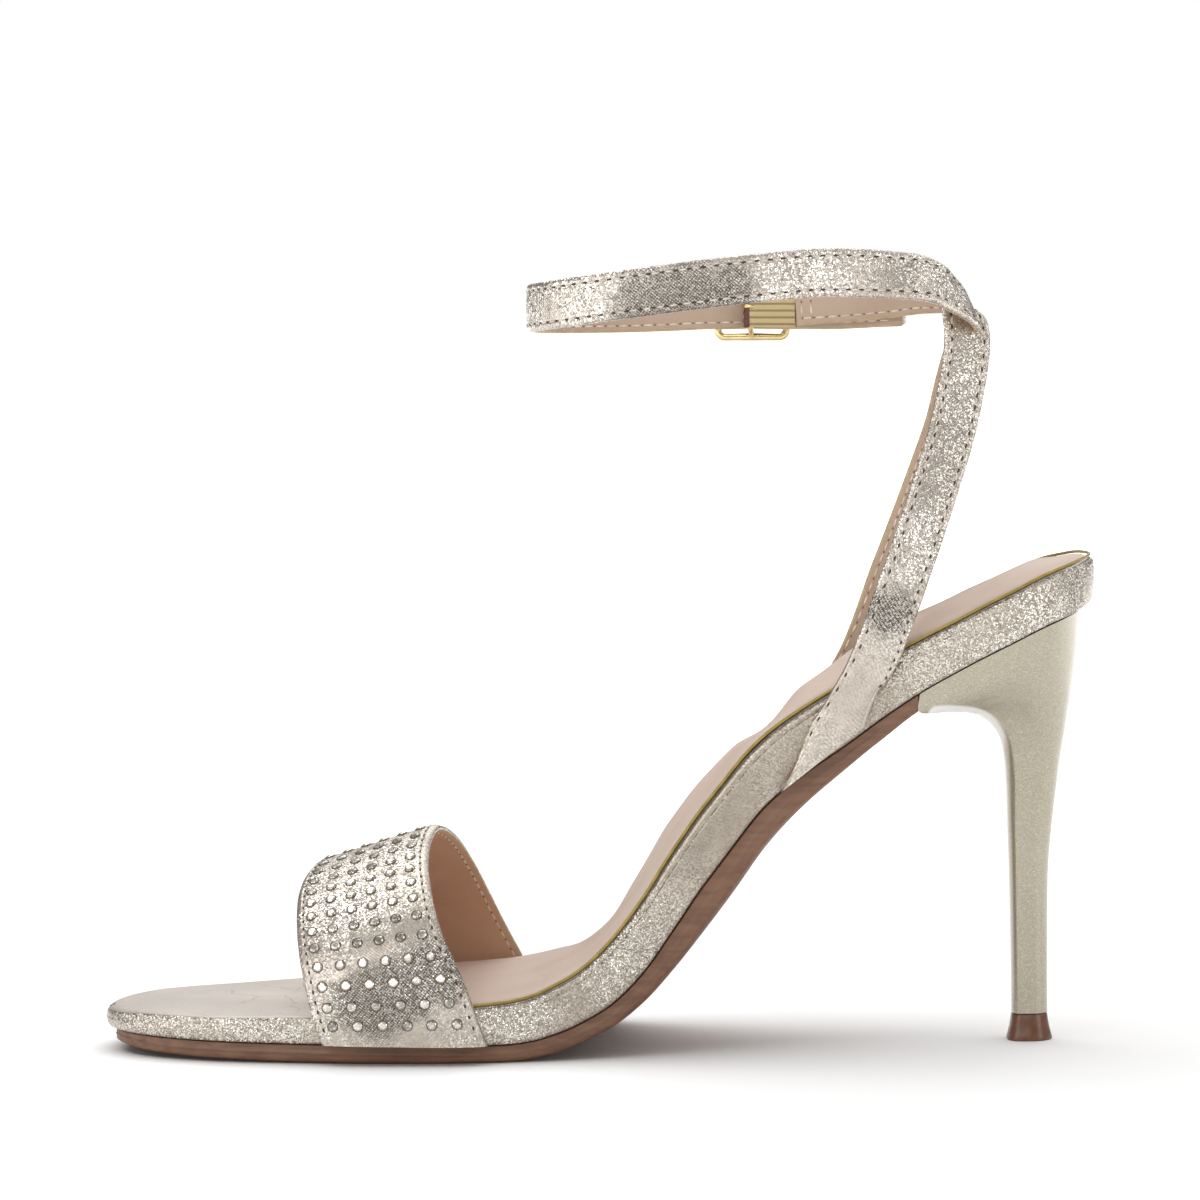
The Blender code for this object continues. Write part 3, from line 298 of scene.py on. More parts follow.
LONG_LOOP_ROWS = (
    LoopRow(72.0, 1.001, 0.0),
    LoopRow(86.0, 0.995, 0.0),
    LoopRow(100.0, 0.984, 0.0),
    LoopRow(116.0, 0.969, 0.0),
    LoopRow(134.0, 0.952, 0.0),
    LoopRow(152.0, 0.938, 0.0),
    LoopRow(168.0, 0.929, 0.0),
    LoopRow(180.0, 0.925, 0.0),
    LoopRow(192.0, 0.921, 0.0),
    LoopRow(208.0, 0.917, 0.0),
    LoopRow(226.0, 0.915, 0.0),
    LoopRow(238.0, 0.915, 0.0),
    LoopRow(249.0, 0.917, 0.1),
)


def even(first: float, last: float, count: int) -> list[float]:
    """Return count values spread evenly from first to last."""
    return [first + (last - first) * i / (count - 1) for i in range(count)]


def steady(knots: Sequence[float], values: Sequence[float], at: float) -> float:
    """Read a smooth curve through the knots that never overshoots its values.

    Args:
        knots: rising places of the knots.
        values: the curve's value at each knot.
        at: the place to read.

    Returns:
        The curve's value.
    """
    if at <= knots[0]:
        return values[0]
    if at >= knots[-1]:
        return values[-1]
    k = max(i for i, knot in enumerate(knots[:-1]) if knot <= at)
    steps = [b - a for a, b in zip(knots, knots[1:])]
    slopes = [(b - a) / s for a, b, s in zip(values, values[1:], steps)]

    def tangent(i: int) -> float:
        """Return the slope at a knot."""
        if i in (0, len(slopes)):
            return slopes[min(i, len(slopes) - 1)]
        before, after = slopes[i - 1], slopes[i]
        return 0.0 if before * after <= 0.0 else 2.0 * before * after / (before + after)

    s, step = (at - knots[k]) / steps[k], steps[k]
    return (
        values[k] * (1 + 2 * s) * (1 - s) ** 2
        + step * tangent(k) * s * (1 - s) ** 2
        + values[k + 1] * s * s * (3 - 2 * s)
        + step * tangent(k + 1) * s * s * (s - 1)
    )


class Curve:
    """A steady curve that is read from a fine table."""

    def __init__(self, knots: Sequence[float], values: Sequence[float], samples: int = 900) -> None:
        """Fill the table.

        Args:
            knots: rising places of the knots.
            values: the curve's value at each knot.
            samples: how many places the table holds.
        """
        self.places = np.linspace(knots[0], knots[-1], samples)
        self.values = np.array([steady(knots, values, place) for place in self.places])

    def __call__(self, at: float) -> float:
        """Return the curve's value at a place."""
        return float(np.interp(at, self.places, self.values))

    def __add__(self, other: "Curve") -> "Curve":
        """Return the sum of two curves whose tables have the same places."""
        total = copy.copy(self)
        total.values = self.values + other.values
        return total


def flowing(knots: np.ndarray, values: np.ndarray, at: float) -> np.ndarray:
    """Read a smooth curve of vectors through the knots, with even tangents.

    Args:
        knots: rising places of the knots.
        values: one row of numbers per knot.
        at: the place to read.

    Returns:
        The row of numbers at that place.
    """
    last = len(knots) - 1
    k = int(min(last - 1, max(0, np.searchsorted(knots, at, side="right") - 1)))
    step = knots[k + 1] - knots[k]

    def tangent(i: int) -> np.ndarray:
        """Return the slope at a knot."""
        low, high = max(0, i - 1), min(last, i + 1)
        return (values[high] - values[low]) / (knots[high] - knots[low])

    s = clamp((at - knots[k]) / step)
    return (
        values[k] * ((1 + 2 * s) * (1 - s) ** 2)
        + tangent(k) * (step * s * (1 - s) ** 2)
        + values[k + 1] * (s * s * (3 - 2 * s))
        + tangent(k + 1) * (step * s * s * (s - 1))
    )


def clamp(value: float) -> float:
    """Return a value kept between 0 and 1."""
    return min(1.0, max(0.0, value))


def dip(place: float, centre: float, width: float) -> float:
    """Return a soft dip from 1 at its centre to 0 about two widths away."""
    return math.exp(-(((place - centre) / width) ** 2))


def world(x: float, y: float, z: float) -> Vector:
    """Return a point in the row frame from its distance behind the toe."""
    return Vector((x - LENGTH / 2, y, z))


class Last:
    """The lines of the sole that every piece is built from."""

    def __init__(self) -> None:
        """Fill the curves from the sole's rows."""
        along = [row.along * LENGTH for row in SOLE_ROWS]
        swing = [math.acos(1 - 2 * row.along) for row in SOLE_ROWS]
        rise = Curve(along, [row.rise * HEEL_RISE for row in SOLE_ROWS])
        spring = Curve(along, [row.spring * TOE_SPRING for row in SOLE_ROWS])
        sole = Curve(along, [row.sole * SOLE_THICK for row in SOLE_ROWS])
        board = Curve(along, [row.board * BOARD_THICK for row in SOLE_ROWS])
        self.tread = rise + spring
        self.feather = self.tread + sole
        self.rim = self.feather + board
        self.drop = Curve(along, [row.drop * OUTER_DROP for row in SOLE_ROWS])
        self.puff = Curve(along, [row.puff * SOCK_CROWN for row in SOLE_ROWS])
        self.round = Curve(along, [row.round for row in SOLE_ROWS])
        self.halves = {
            Side.INNER: Curve(swing, [row.size * row.inner for row in SOLE_ROWS]),
            Side.OUTER: Curve(swing, [row.size * row.outer for row in SOLE_ROWS]),
        }

    def steep(self, x: float) -> float:
        """Return how much longer an upright gap is than the same gap square to the shank."""
        reach = 0.002
        slope = (self.feather(x + reach) - self.feather(x - reach)) / (2 * reach)
        return math.sqrt(1 + slope * slope)

    def plan(self, swing: float, side: Side) -> Vector:
        """Return the outline's point at a swing of 0 at the toe to pi at the heel."""
        return Vector((LENGTH * (1 - math.cos(swing)) / 2, side.value * self.halves[side](swing)))

    def edge(self, swing: float, side: Side, inset: float = 0.0) -> Vector:
        """Return the outline's point drawn in square to the outline.

        Args:
            swing: 0 at the toe to pi at the heel.
            side: side of the foot.
            inset: how far inside the outline, in metres.

        Returns:
            The point in plan, x from the toe.
        """
        step = 0.004
        ahead = self.plan(min(math.pi, swing + step), side)
        behind = self.plan(max(0.0, swing - step), side)
        along = (ahead - behind).normalized()
        return self.plan(swing, side) + Vector((-along.y, along.x)) * (-side.value * inset)

    @staticmethod
    def swing_at(x: float) -> float:
        """Return the swing of the outline at x metres from the toe."""
        return math.acos(1 - 2 * clamp(x / LENGTH))

    def half(self, x: float, side: Side) -> float:
        """Return the outline's half width at x metres from the toe."""
        return self.halves[side](self.swing_at(x))

    def spot(self, swing: float, side: Side, inset: float, share: float, height: Height) -> Vector:
        """Return one point of a layer.

        Args:
            swing: 0 at the toe to pi at the heel.
            side: the side that share is counted from.
            inset: how far the layer's edge lies inside the outline.
            share: share of the way across to the other edge.
            height: height as a function of x.

        Returns:
            The point in the row frame.
        """
        near = self.edge(swing, side, inset)
        other = Side.OUTER if side is Side.INNER else Side.INNER
        place = near.lerp(self.edge(swing, other, inset), share) if share else near
        across = share if side is Side.INNER else 1 - share
        return world(place.x, place.y, height(place.x) - self.drop(place.x) * across)


def only(*things: Piece) -> None:
    """Leave just these objects selected, the first one active."""
    if bpy.context.mode != "OBJECT":
        bpy.ops.object.mode_set(mode="OBJECT")
    bpy.ops.object.select_all(action="DESELECT")
    for thing in things:
        thing.select_set(True)
    if things:
        bpy.context.view_layer.objects.active = things[0]


def lofted(
    name: str,
    rings: Sequence[Sequence[Vector]],
    materials: Sequence[Material],
    slots: Sequence[int] = (),
    looped: bool = False,
    smooth: float = 50.0,
) -> Piece:
    """Shape a grid primitive into a closed skin through rings.

    Args:
        name: name of the piece.
        rings: closed rings of equal length, in order.
        materials: the piece's materials.
        slots: material index of each column of faces or of each face, or nothing for the first.
        looped: True where the last ring joins the first, so there are no ends to fill.
        smooth: largest angle between faces that stays smooth, in degrees.

    Returns:
        The finished piece, with a UV map in metres.
    """
    only()
    rows, columns = len(rings), len(rings[0])
    total = rows + (1 if looped else 0)
    bpy.ops.mesh.primitive_grid_add(x_subdivisions=columns, y_subdivisions=total - 1, size=1.0)
    piece = bpy.context.object
    piece.name = name
    mesh = piece.data
    mesh.name = name
    points = np.array([[tuple(p) for p in ring] + [tuple(ring[0])] for ring in rings])
    if looped:
        points = np.concatenate([points, points[:1]])
    mesh.vertices.foreach_set("co", points.reshape(-1))
    across = np.linalg.norm(np.diff(points, axis=1), axis=2)
    along = np.linalg.norm(np.diff(points, axis=0), axis=2).mean(axis=1)
    v = np.concatenate([np.zeros((total, 1)), np.cumsum(across, axis=1)], axis=1)
    u = np.repeat(np.concatenate([[0.0], np.cumsum(along)])[:, None], columns + 1, axis=1)
    uv = np.stack([u, v], axis=2).reshape(-1, 2)
    corner = np.empty(len(mesh.loops), dtype=np.int32)
    mesh.loops.foreach_get("vertex_index", corner)
    layer = mesh.uv_layers[0]
    layer.name = METRIC_UV
    layer.data.foreach_set("uv", uv[corner].reshape(-1))
    for material in materials:
        mesh.materials.append(material)
    if slots:
        repeats = total - 1 if len(slots) == columns else 1
        mesh.polygons.foreach_set("material_index", np.tile(np.array(slots, dtype=np.int32), repeats))
    bpy.ops.object.mode_set(mode="EDIT")
    bpy.ops.mesh.select_all(action="SELECT")
    bpy.ops.mesh.remove_doubles(threshold=1e-6)
    if not looped:
        bpy.ops.mesh.select_all(action="SELECT")
        bpy.ops.mesh.fill_holes(sides=0)
    bpy.ops.mesh.select_all(action="SELECT")
    bpy.ops.mesh.normals_make_consistent(inside=False)
    bpy.ops.object.mode_set(mode="OBJECT")
    bpy.ops.object.shade_smooth_by_angle(angle=math.radians(smooth))
    return piece


def tube(
    name: str,
    points: Sequence[Vector],
    ups: Sequence[Vector],
    radius: float,
    material: Material,
    sides: int = 10,
) -> Piece:
    """Make a round cord or wire along a path.

    Args:
        name: name of the piece.
        points: the path.
        ups: a direction roughly square to the path at each point.
        radius: radius in metres.
        material: its material.
        sides: how many sides the section has.

    Returns:
        The piece.
    """
    rings = []
    for i, point in enumerate(points):
        tangent = (points[min(i + 1, len(points) - 1)] - points[max(i - 1, 0)]).normalized()
        side = ups[i].cross(tangent).normalized()
        up = tangent.cross(side)
        turns = even(0.0, math.tau, sides + 1)[:-1]
        rings.append([point + (side * math.cos(a) + up * math.sin(a)) * radius for a in turns])
    return lofted(name, rings, [material])


def scattered(
    name: str,
    pattern: Piece,
    places: Sequence[Matrix],
    material: Material,
    smooth: bool = True,
) -> Piece:
    """Copy a small modelled pattern to many places as one piece, and remove the pattern.

    Args:
        name: name of the piece.
        pattern: the modelled pattern at the origin.
        places: one matrix per copy.
        material: its material.
        smooth: True for smooth shading.

    Returns:
        The piece with all the copies.
    """
    source = pattern.data
    points = np.array([tuple(v.co) for v in source.vertices])
    faces = [tuple(p.vertices) for p in source.polygons]
    corners, polygons = [], []
    for n, place in enumerate(places):
        turn = np.array(place.to_3x3())
        corners.append(points @ turn.T + np.array(place.translation))
        polygons += [tuple(i + n * len(points) for i in face) for face in faces]
    mesh = bpy.data.meshes.new(name)
    mesh.from_pydata(np.concatenate(corners).tolist(), [], polygons)
    mesh.materials.append(material)
    mesh.polygons.foreach_set("use_smooth", [smooth] * len(polygons))
    mesh.update()
    piece = bpy.data.objects.new(name, mesh)
    bpy.context.scene.collection.objects.link(piece)
    bpy.data.objects.remove(pattern)
    return piece


def settle(piece: Piece, slot: str, *nodes: str) -> Piece:
    """Let a piece ride on the shoe.

    Args:
        piece: the finished piece.
        slot: a material slot name, not used.
        nodes: the CAD nodes that it stands for.

    Returns:
        The same piece.
    """
    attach(piece, BODY)
    if nodes:
        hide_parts(*nodes)
    LOG.info("%s: %d faces", piece.name, len(piece.data.polygons))
    return piece


def placed(point: Vector, along: Vector, normal: Vector) -> Matrix:
    """Lay a pattern on a surface.

    Args:
        point: the place of the pattern's origin.
        along: the direction of its x.
        normal: the direction of its z.

    Returns:
        The matrix that takes the pattern there.
    """
    x = along.normalized()
    y = normal.cross(x).normalized()
    z = x.cross(y)
    turn = Matrix((x, y, z)).transposed()
    return Matrix.Translation(point) @ turn.to_4x4()


class NodeSheet:
    """A material's node tree with short calls to add and join nodes."""

    def __init__(self, name: str) -> None:
        """Start a material with its Principled shader."""
        self.material = bpy.data.materials.new(name)
        self.material.use_nodes = True
        self.tree = self.material.node_tree
        self.shader = self.tree.nodes["Principled BSDF"]
        coordinates = self.tree.nodes.new("ShaderNodeTexCoord")
        self.place = coordinates.outputs["Object"]

    def metric(self) -> Socket:
        """Return the piece's own UV map in metres."""
        return self.add("ShaderNodeUVMap", uv_map=METRIC_UV).outputs["UV"]

    def add(self, kind: str, inputs: dict | None = None, **settings: object) -> bpy.types.Node:
        """Add a node.

        Args:
            kind: the node's type.
            inputs: a value or a socket for each named or numbered input.
            settings: the node's own settings.

        Returns:
            The node.
        """
        node = self.tree.nodes.new(kind)
        for key, value in settings.items():
            setattr(node, key, value)
        for key, value in (inputs or {}).items():
            if isinstance(value, Socket):
                self.tree.links.new(value, node.inputs[key])
            else:
                node.inputs[key].default_value = value
        return node

    def math(self, operation: str, first: object, second: object = 0.0) -> Socket:
        """Return the result of a Math node."""
        return self.add("ShaderNodeMath", {0: first, 1: second}, operation=operation).outputs[0]

    def times(self, first: object, second: object) -> Socket:
        """Return the product of two values."""
        return self.math("MULTIPLY", first, second)

    def plus(self, first: object, second: object) -> Socket:
        """Return the sum of two values."""
        return self.math("ADD", first, second)

    def most(self, first: object, second: object) -> Socket:
        """Return the larger of two values."""
        return self.math("MAXIMUM", first, second)

    def vector(self, operation: str, inputs: dict, output: int | str = 0) -> Socket:
        """Return a result of a Vector Math node."""
        return self.add("ShaderNodeVectorMath", inputs, operation=operation).outputs[output]

    def spread(
        self, value: object, low: float, high: float, to_low: float = 0.0, to_high: float = 1.0
    ) -> Socket:
        """Return a value mapped softly from one range to another, kept to its ends."""
        inputs = {"Value": value, "From Min": low, "From Max": high, "To Min": to_low, "To Max": to_high}
        return self.add("ShaderNodeMapRange", inputs, interpolation_type="SMOOTHSTEP").outputs["Result"]

    def noise(self, scale: float, detail: float = 2.0, place: object = None, rough: float = 0.5) -> Socket:
        """Return a noise value in the piece's own place."""
        inputs = {"Vector": place or self.place, "Scale": scale, "Detail": detail, "Roughness": rough}
        return self.add("ShaderNodeTexNoise", inputs).outputs["Fac"]

    def cells(self, scale: float, output: str = "Color", feature: str = "F1", place: object = None) -> Socket:
        """Return a value of a cell pattern in the piece's own place."""
        inputs = {"Vector": place or self.place, "Scale": scale}
        return self.add("ShaderNodeTexVoronoi", inputs, feature=feature).outputs[output]

    def red(self, colour: Socket) -> Socket:
        """Return the first channel of a colour."""
        return self.add("ShaderNodeSeparateColor", {0: colour}).outputs[0]

    def mix(self, share: object, first: object, second: object) -> Socket:
        """Mix two colours.

        Args:
            share: how much of the second colour shows.
            first: colour or socket at a share of 0.
            second: colour or socket at a share of 1.

        Returns:
            The mixed colour.
        """
        node = self.add("ShaderNodeMix", data_type="RGBA")
        for index, value in ((0, share), (6, first), (7, second)):
            if isinstance(value, Socket):
                self.tree.links.new(value, node.inputs[index])
            else:
                node.inputs[index].default_value = value
        return node.outputs[2]

    def bump(self, height: object, depth: float, strength: float = 1.0, under: object = None) -> Socket:
        """Bump the surface.

        Args:
            height: the relief, as a value or socket.
            depth: its depth in metres.
            strength: its share.
            under: a normal that it lies on, or nothing for the piece's own.

        Returns:
            The bumped normal.
        """
        inputs = {"Height": height, "Distance": depth, "Strength": strength}
        if under is not None:
            inputs["Normal"] = under
        return self.add("ShaderNodeBump", inputs).outputs["Normal"]

    def finish(self, **inputs: object) -> Material:
        """Set the shader's inputs.

        Args:
            inputs: a value or socket for each input, its name written with underscores.

        Returns:
            The material.
        """
        for key, value in inputs.items():
            socket = self.shader.inputs[key.replace("_", " ")]
            if isinstance(value, Socket):
                self.tree.links.new(value, socket)
            else:
                socket.default_value = value
        return self.material


def tint(red: float, green: float, blue: float) -> tuple[float, float, float, float]:
    """Return a colour given in picture values of 0 to 255 as linear light."""
    parts = (red / 255, green / 255, blue / 255)
    return tuple(((c + 0.055) / 1.055) ** 2.4 for c in parts) + (1.0,)


class Finish(Protocol):
    """Anything that can make its material."""

    def make(self) -> Material:
        """Return the material."""


def shaded(colour: tuple, share: float) -> tuple[float, float, float, float]:
    """Return a colour scaled by a share and still opaque."""
    return tuple(c * share for c in colour[:3]) + (1.0,)


@dataclass(frozen=True)
class FoilFinish:
    """Metallic foil cracked into flakes over a finely woven ground, as on the wrap and the straps, with zones
    of painted highlight and painted shade.
    """

    name: str
    satin: tuple = tint(206, 195, 182)
    flake: tuple = tint(255, 251, 244)
    ground: tuple = tint(48, 41, 32)
    pitch: float = 0.00056
    flake_size: float = 0.00032
    tilt: float = 0.95
    sparkle: float = 0.6
    # x, y, z and reach of soft patches: painted highlights, painted shade, and painted shade with less sparkle
    painted_highlight_patches: tuple = ()
    painted_shade_patches: tuple = ()
    painted_calm_shade_patches: tuple = ()
    relief: float = 0.00006
    roughness: float = 0.32
    metallic: float = 0.9

    @staticmethod
    def patches(sheet: NodeSheet, spots: tuple) -> object:
        """Mark soft round patches, for painted highlights and painted shade.

        Args:
            sheet: the material's node tree.
            spots: x, y, z and reach of each patch.

        Returns:
            A value of 1 inside the patches and 0 away from them.
        """
        total = 0.0
        for x, y, z, reach in spots:
            away = sheet.vector("DISTANCE", {0: sheet.place, 1: (x, y, z)}, "Value")
            ragged = sheet.plus(away, sheet.times(sheet.noise(230.0, 3.0), reach * 0.8))
            total = sheet.most(total, sheet.spread(ragged, reach * 0.9, reach * 1.7, 1.0, 0.0))
        return total

    def make(self) -> Material:
        """Return the material."""
        sheet = NodeSheet(self.name)
        turned = sheet.add(
            "ShaderNodeMapping",
            {
                "Vector": sheet.metric(),
                "Rotation": (0.0, 0.0, math.radians(45)),
                "Scale": (1 / self.pitch,) * 3,
            },
        ).outputs[0]
        split = sheet.add("ShaderNodeSeparateXYZ", {0: turned})
        waves = [sheet.math("SINE", sheet.times(split.outputs[i], math.tau)) for i in (0, 1)]
        weave = sheet.most(*waves)
        # painted highlight: noise zones and listed patches where more flakes catch the light and tilt further
        painted_highlight = sheet.times(sheet.spread(sheet.noise(38.0, 2.0), 0.38, 0.62), 0.6)
        painted_highlight = sheet.most(painted_highlight, self.patches(sheet, self.painted_highlight_patches))
        # painted shade: noise zones and listed patches where the satin and the lattice are darker
        painted_shade = sheet.times(sheet.spread(sheet.noise(52.0, 2.5, rough=0.6), 0.5, 0.72), 0.45)
        painted_shade = sheet.most(painted_shade, self.patches(sheet, self.painted_shade_patches))
        # painted shade with less sparkle: calm patches dim the flakes and darken the satin
        outside_calm_shade = sheet.math("SUBTRACT", 1.0, sheet.times(self.patches(sheet, self.painted_calm_shade_patches), 0.7))
        drift = sheet.noise(300.0, 3.0)
        random = sheet.cells(1 / self.flake_size)
        edges = sheet.cells(1 / self.flake_size, "Distance", "DISTANCE_TO_EDGE")
        crack = sheet.spread(edges, 0.02, 0.16, 1.0, 0.0)
        cell = sheet.red(random)
        lit = sheet.spread(cell, 1.0 - 0.85 * self.sparkle, 0.9)
        lit = sheet.times(lit, sheet.spread(painted_highlight, 0.0, 1.0, 0.35, 1.0))
        lit = sheet.times(lit, outside_calm_shade)
        dark = sheet.most(sheet.times(crack, 0.7), sheet.spread(weave, 0.5, 0.9))
        dark = sheet.times(dark, sheet.spread(painted_shade, 0.0, 1.0, 0.2, 1.0))
        dark = sheet.times(dark, outside_calm_shade)
        # dark flecks in random cells, stronger in the painted shade zones
        dark_flecks = sheet.times(sheet.spread(cell, 0.05, 0.42, 1.0, 0.0), 0.42 * self.sparkle)
        dark_flecks = sheet.times(dark_flecks, sheet.spread(outside_calm_shade, 0.0, 1.0, 0.45, 1.0))
        dark = sheet.most(dark, sheet.times(dark_flecks, sheet.spread(painted_shade, 0.0, 1.0, 1.0, 1.6)))
        base = sheet.mix(sheet.spread(drift, 0.3, 0.7), self.satin, shaded(self.satin, 0.86))
        # painted shade darkens the satin
        base = sheet.mix(sheet.times(painted_shade, 0.3), base, shaded(self.satin, 0.5))
        # the calm patches darken the satin too, painted shade
        base = sheet.mix(sheet.spread(outside_calm_shade, 0.0, 1.0, 0.3, 0.0), base, shaded(self.satin, 0.6))
        base = sheet.mix(dark, base, self.ground)
        clear = sheet.math("SUBTRACT", 1.0, sheet.times(dark, 0.45))
        # the lit flakes take the pale flake colour, most in the painted highlight zones
        base = sheet.mix(sheet.times(lit, clear), base, self.flake)
        rough = sheet.plus(sheet.times(lit, -0.14), self.roughness)
        rough = sheet.plus(rough, sheet.times(drift, 0.08))
        centred = sheet.vector("SUBTRACT", {0: random, 1: (0.5, 0.5, 0.5)})
        strength = self.tilt * self.sparkle
        scale = sheet.times(sheet.spread(painted_highlight, 0.0, 1.0, 0.6 * strength, 1.15 * strength), outside_calm_shade)
        lean = sheet.vector("SCALE", {0: centred, "Scale": scale})
        facing = sheet.add("ShaderNodeNewGeometry").outputs["Normal"]
        faced = sheet.vector("ADD", {0: facing, 1: lean})
        faced = sheet.vector("NORMALIZE", {0: faced})
        normal = sheet.bump(sheet.noise(240.0, 2.0), 0.00008, 0.5, faced)
        woven = sheet.times(weave, sheet.spread(painted_shade, 0.0, 1.0, -0.3, -1.0))
        normal = sheet.bump(woven, self.relief, 0.6, normal)
        return sheet.finish(Base_Color=base, Metallic=self.metallic, Roughness=rough, Normal=normal)


@dataclass(frozen=True)
class SatinFinish:
    """Smooth foil drawn over the toe, with hairline creases darkened by painted shade."""

    name: str
    colour: tuple
    # crease: colour of the painted shade along the hairline creases, also of the fine weave's darker flecks
    crease: tuple
    cell: float = 0.011

    def make(self) -> Material:
        """Return the material."""
        sheet = NodeSheet(self.name)
        swirl = {"Vector": sheet.place, "Scale": 90.0, "Detail": 3.0}
        sway = sheet.add("ShaderNodeTexNoise", swirl).outputs["Color"]
        swayed = sheet.vector("SCALE", {0: sway, "Scale": 0.008})
        swayed = sheet.vector("ADD", {0: sheet.place, 1: swayed})
        drawn = sheet.add("ShaderNodeMapping", {"Vector": swayed, "Scale": (1.0, 0.55, 1.0)}).outputs[0]
        edges = sheet.cells(1 / self.cell, "Distance", "DISTANCE_TO_EDGE", drawn)
        hair = sheet.spread(edges, 0.0, 0.022, 1.0, 0.0)
        some = sheet.spread(sheet.noise(34.0, 2.0), 0.5, 0.66)
        hair = sheet.times(hair, some)
        weave = sheet.noise(1900.0, 1.0)
        drift = sheet.spread(sheet.noise(60.0, 3.0), 0.3, 0.7)
        base = sheet.mix(sheet.times(drift, 0.9), self.colour, shaded(self.colour, 0.84))
        base = sheet.mix(sheet.times(sheet.spread(weave, 0.55, 0.75), 0.35), base, self.crease)
        # painted shade along the hairline creases
        base = sheet.mix(sheet.times(hair, 0.55), base, self.crease)
        normal = sheet.bump(sheet.noise(120.0, 3.0), 0.0002, 0.5)
        normal = sheet.bump(sheet.times(hair, -1.0), 0.00012, 0.8, normal)
        normal = sheet.bump(weave, 0.00003, 0.5, normal)
        return sheet.finish(Base_Color=base, Metallic=0.45, Roughness=0.46, Normal=normal)


@dataclass(frozen=True)
class LeatherFinish:
    """Plain leather with fine pores and soft drift of colour."""

    name: str
    colour: tuple
    shade: tuple
    roughness: float = 0.55
    grain: float = 900.0
    depth: float = 0.00004
    crease: float = 0.0

    def make(self) -> Material:
        """Return the material."""
        sheet = NodeSheet(self.name)
        drift = sheet.spread(sheet.noise(38.0, 3.0), 0.3, 0.72)
        fine = sheet.noise(self.grain, 3.0)
        base = sheet.mix(sheet.times(drift, 0.55), self.colour, self.shade)
        base = sheet.mix(sheet.times(sheet.spread(fine, 0.55, 0.75), 0.25), base, self.shade)
        pores = sheet.cells(self.grain * 0.9, "Distance")
        normal = sheet.bump(sheet.plus(pores, fine), self.depth, 0.6)
        if self.crease:
            wrinkle = sheet.math("ABSOLUTE", sheet.math("SUBTRACT", sheet.noise(46.0, 2.0), 0.5))
            normal = sheet.bump(sheet.spread(wrinkle, 0.0, 0.03), self.crease, 0.7, normal)
        rough = sheet.plus(sheet.times(drift, 0.1), self.roughness)
        return sheet.finish(Base_Color=base, Roughness=rough, Normal=normal, Specular_IOR_Level=0.4)


@dataclass(frozen=True)
class MetalFinish:
    """Plated or polished metal."""

    name: str
    colour: tuple
    roughness: float = 0.18

    def make(self) -> Material:
        """Return the material."""
        sheet = NodeSheet(self.name)
        drift = sheet.noise(240.0, 3.0)
        rough = sheet.plus(sheet.times(drift, 0.12), self.roughness)
        darker = shaded(self.colour, 0.82)
        base = sheet.mix(sheet.spread(drift, 0.35, 0.7), self.colour, darker)
        normal = sheet.bump(sheet.noise(900.0, 2.0), 0.00002, 0.3)
        return sheet.finish(Base_Color=base, Metallic=1.0, Roughness=rough, Normal=normal)


@dataclass(frozen=True)
class CrystalFinish:
    """Clear cut crystal over its foil: pale, with a hard gloss, painted white glints and a little drift from
    stone to stone.
    """

    name: str
    colour: tuple
    shade: tuple

    def make(self) -> Material:
        """Return the material."""
        sheet = NodeSheet(self.name)
        stone = sheet.red(sheet.cells(1 / 0.0032))
        painted_glint = sheet.red(sheet.cells(1 / 0.0005))
        base = sheet.mix(sheet.spread(stone, 0.1, 0.9), self.colour, self.shade)
        # painted glints: small spots of the stone mixed toward white
        base = sheet.mix(sheet.times(sheet.spread(painted_glint, 0.6, 0.9), 0.5), base, (1.0, 1.0, 1.0, 1.0))
        normal = sheet.bump(painted_glint, 0.00003, 0.4)
        return sheet.finish(
            Base_Color=base, Metallic=0.7, Roughness=0.06, Normal=normal, Coat_Weight=1.0, Coat_Roughness=0.02
        )


@dataclass(frozen=True)
class PaintFinish:
    """Metallic paint with fine flakes under a clear coat, as on the heel, with a painted pale reflection along
    the breast.
    """

    name: str
    colour: tuple
    flake: tuple
    # breast: colour of the painted pale reflection along the breast
    breast: tuple = tint(232, 230, 225)

    def make(self) -> Material:
        """Return the material."""
        sheet = NodeSheet(self.name)
        cells = sheet.red(sheet.cells(5200.0))
        lit = sheet.times(sheet.spread(cells, 0.6, 1.0), 0.45)
        base = sheet.mix(lit, self.colour, self.flake)
        base = sheet.mix(sheet.times(sheet.noise(60.0, 2.0), 0.25), base, shaded(self.colour, 0.8))
        dull = sheet.times(sheet.spread(cells, 0.0, 0.3, 1.0, 0.0), 0.3)
        base = sheet.mix(dull, base, shaded(self.colour, 0.6))
        # painted reflection: a pale, less metallic band along the breast, where the paint would show the white
        # floor
        under = sheet.spread(sheet.add("ShaderNodeAttribute", attribute_name=PAINTED_SHEEN_MARK).outputs["Fac"], 0.4, 0.6)
        base = sheet.mix(sheet.times(under, 0.92), base, self.breast)
        metal = sheet.spread(under, 0.0, 1.0, 0.6, 0.0)
        normal = sheet.bump(sheet.noise(2400.0, 2.0), 0.00002, 0.6)
        return sheet.finish(
            Base_Color=base, Metallic=metal, Roughness=0.33, Normal=normal, Coat_Weight=0.5, Coat_Roughness=0.1
        )


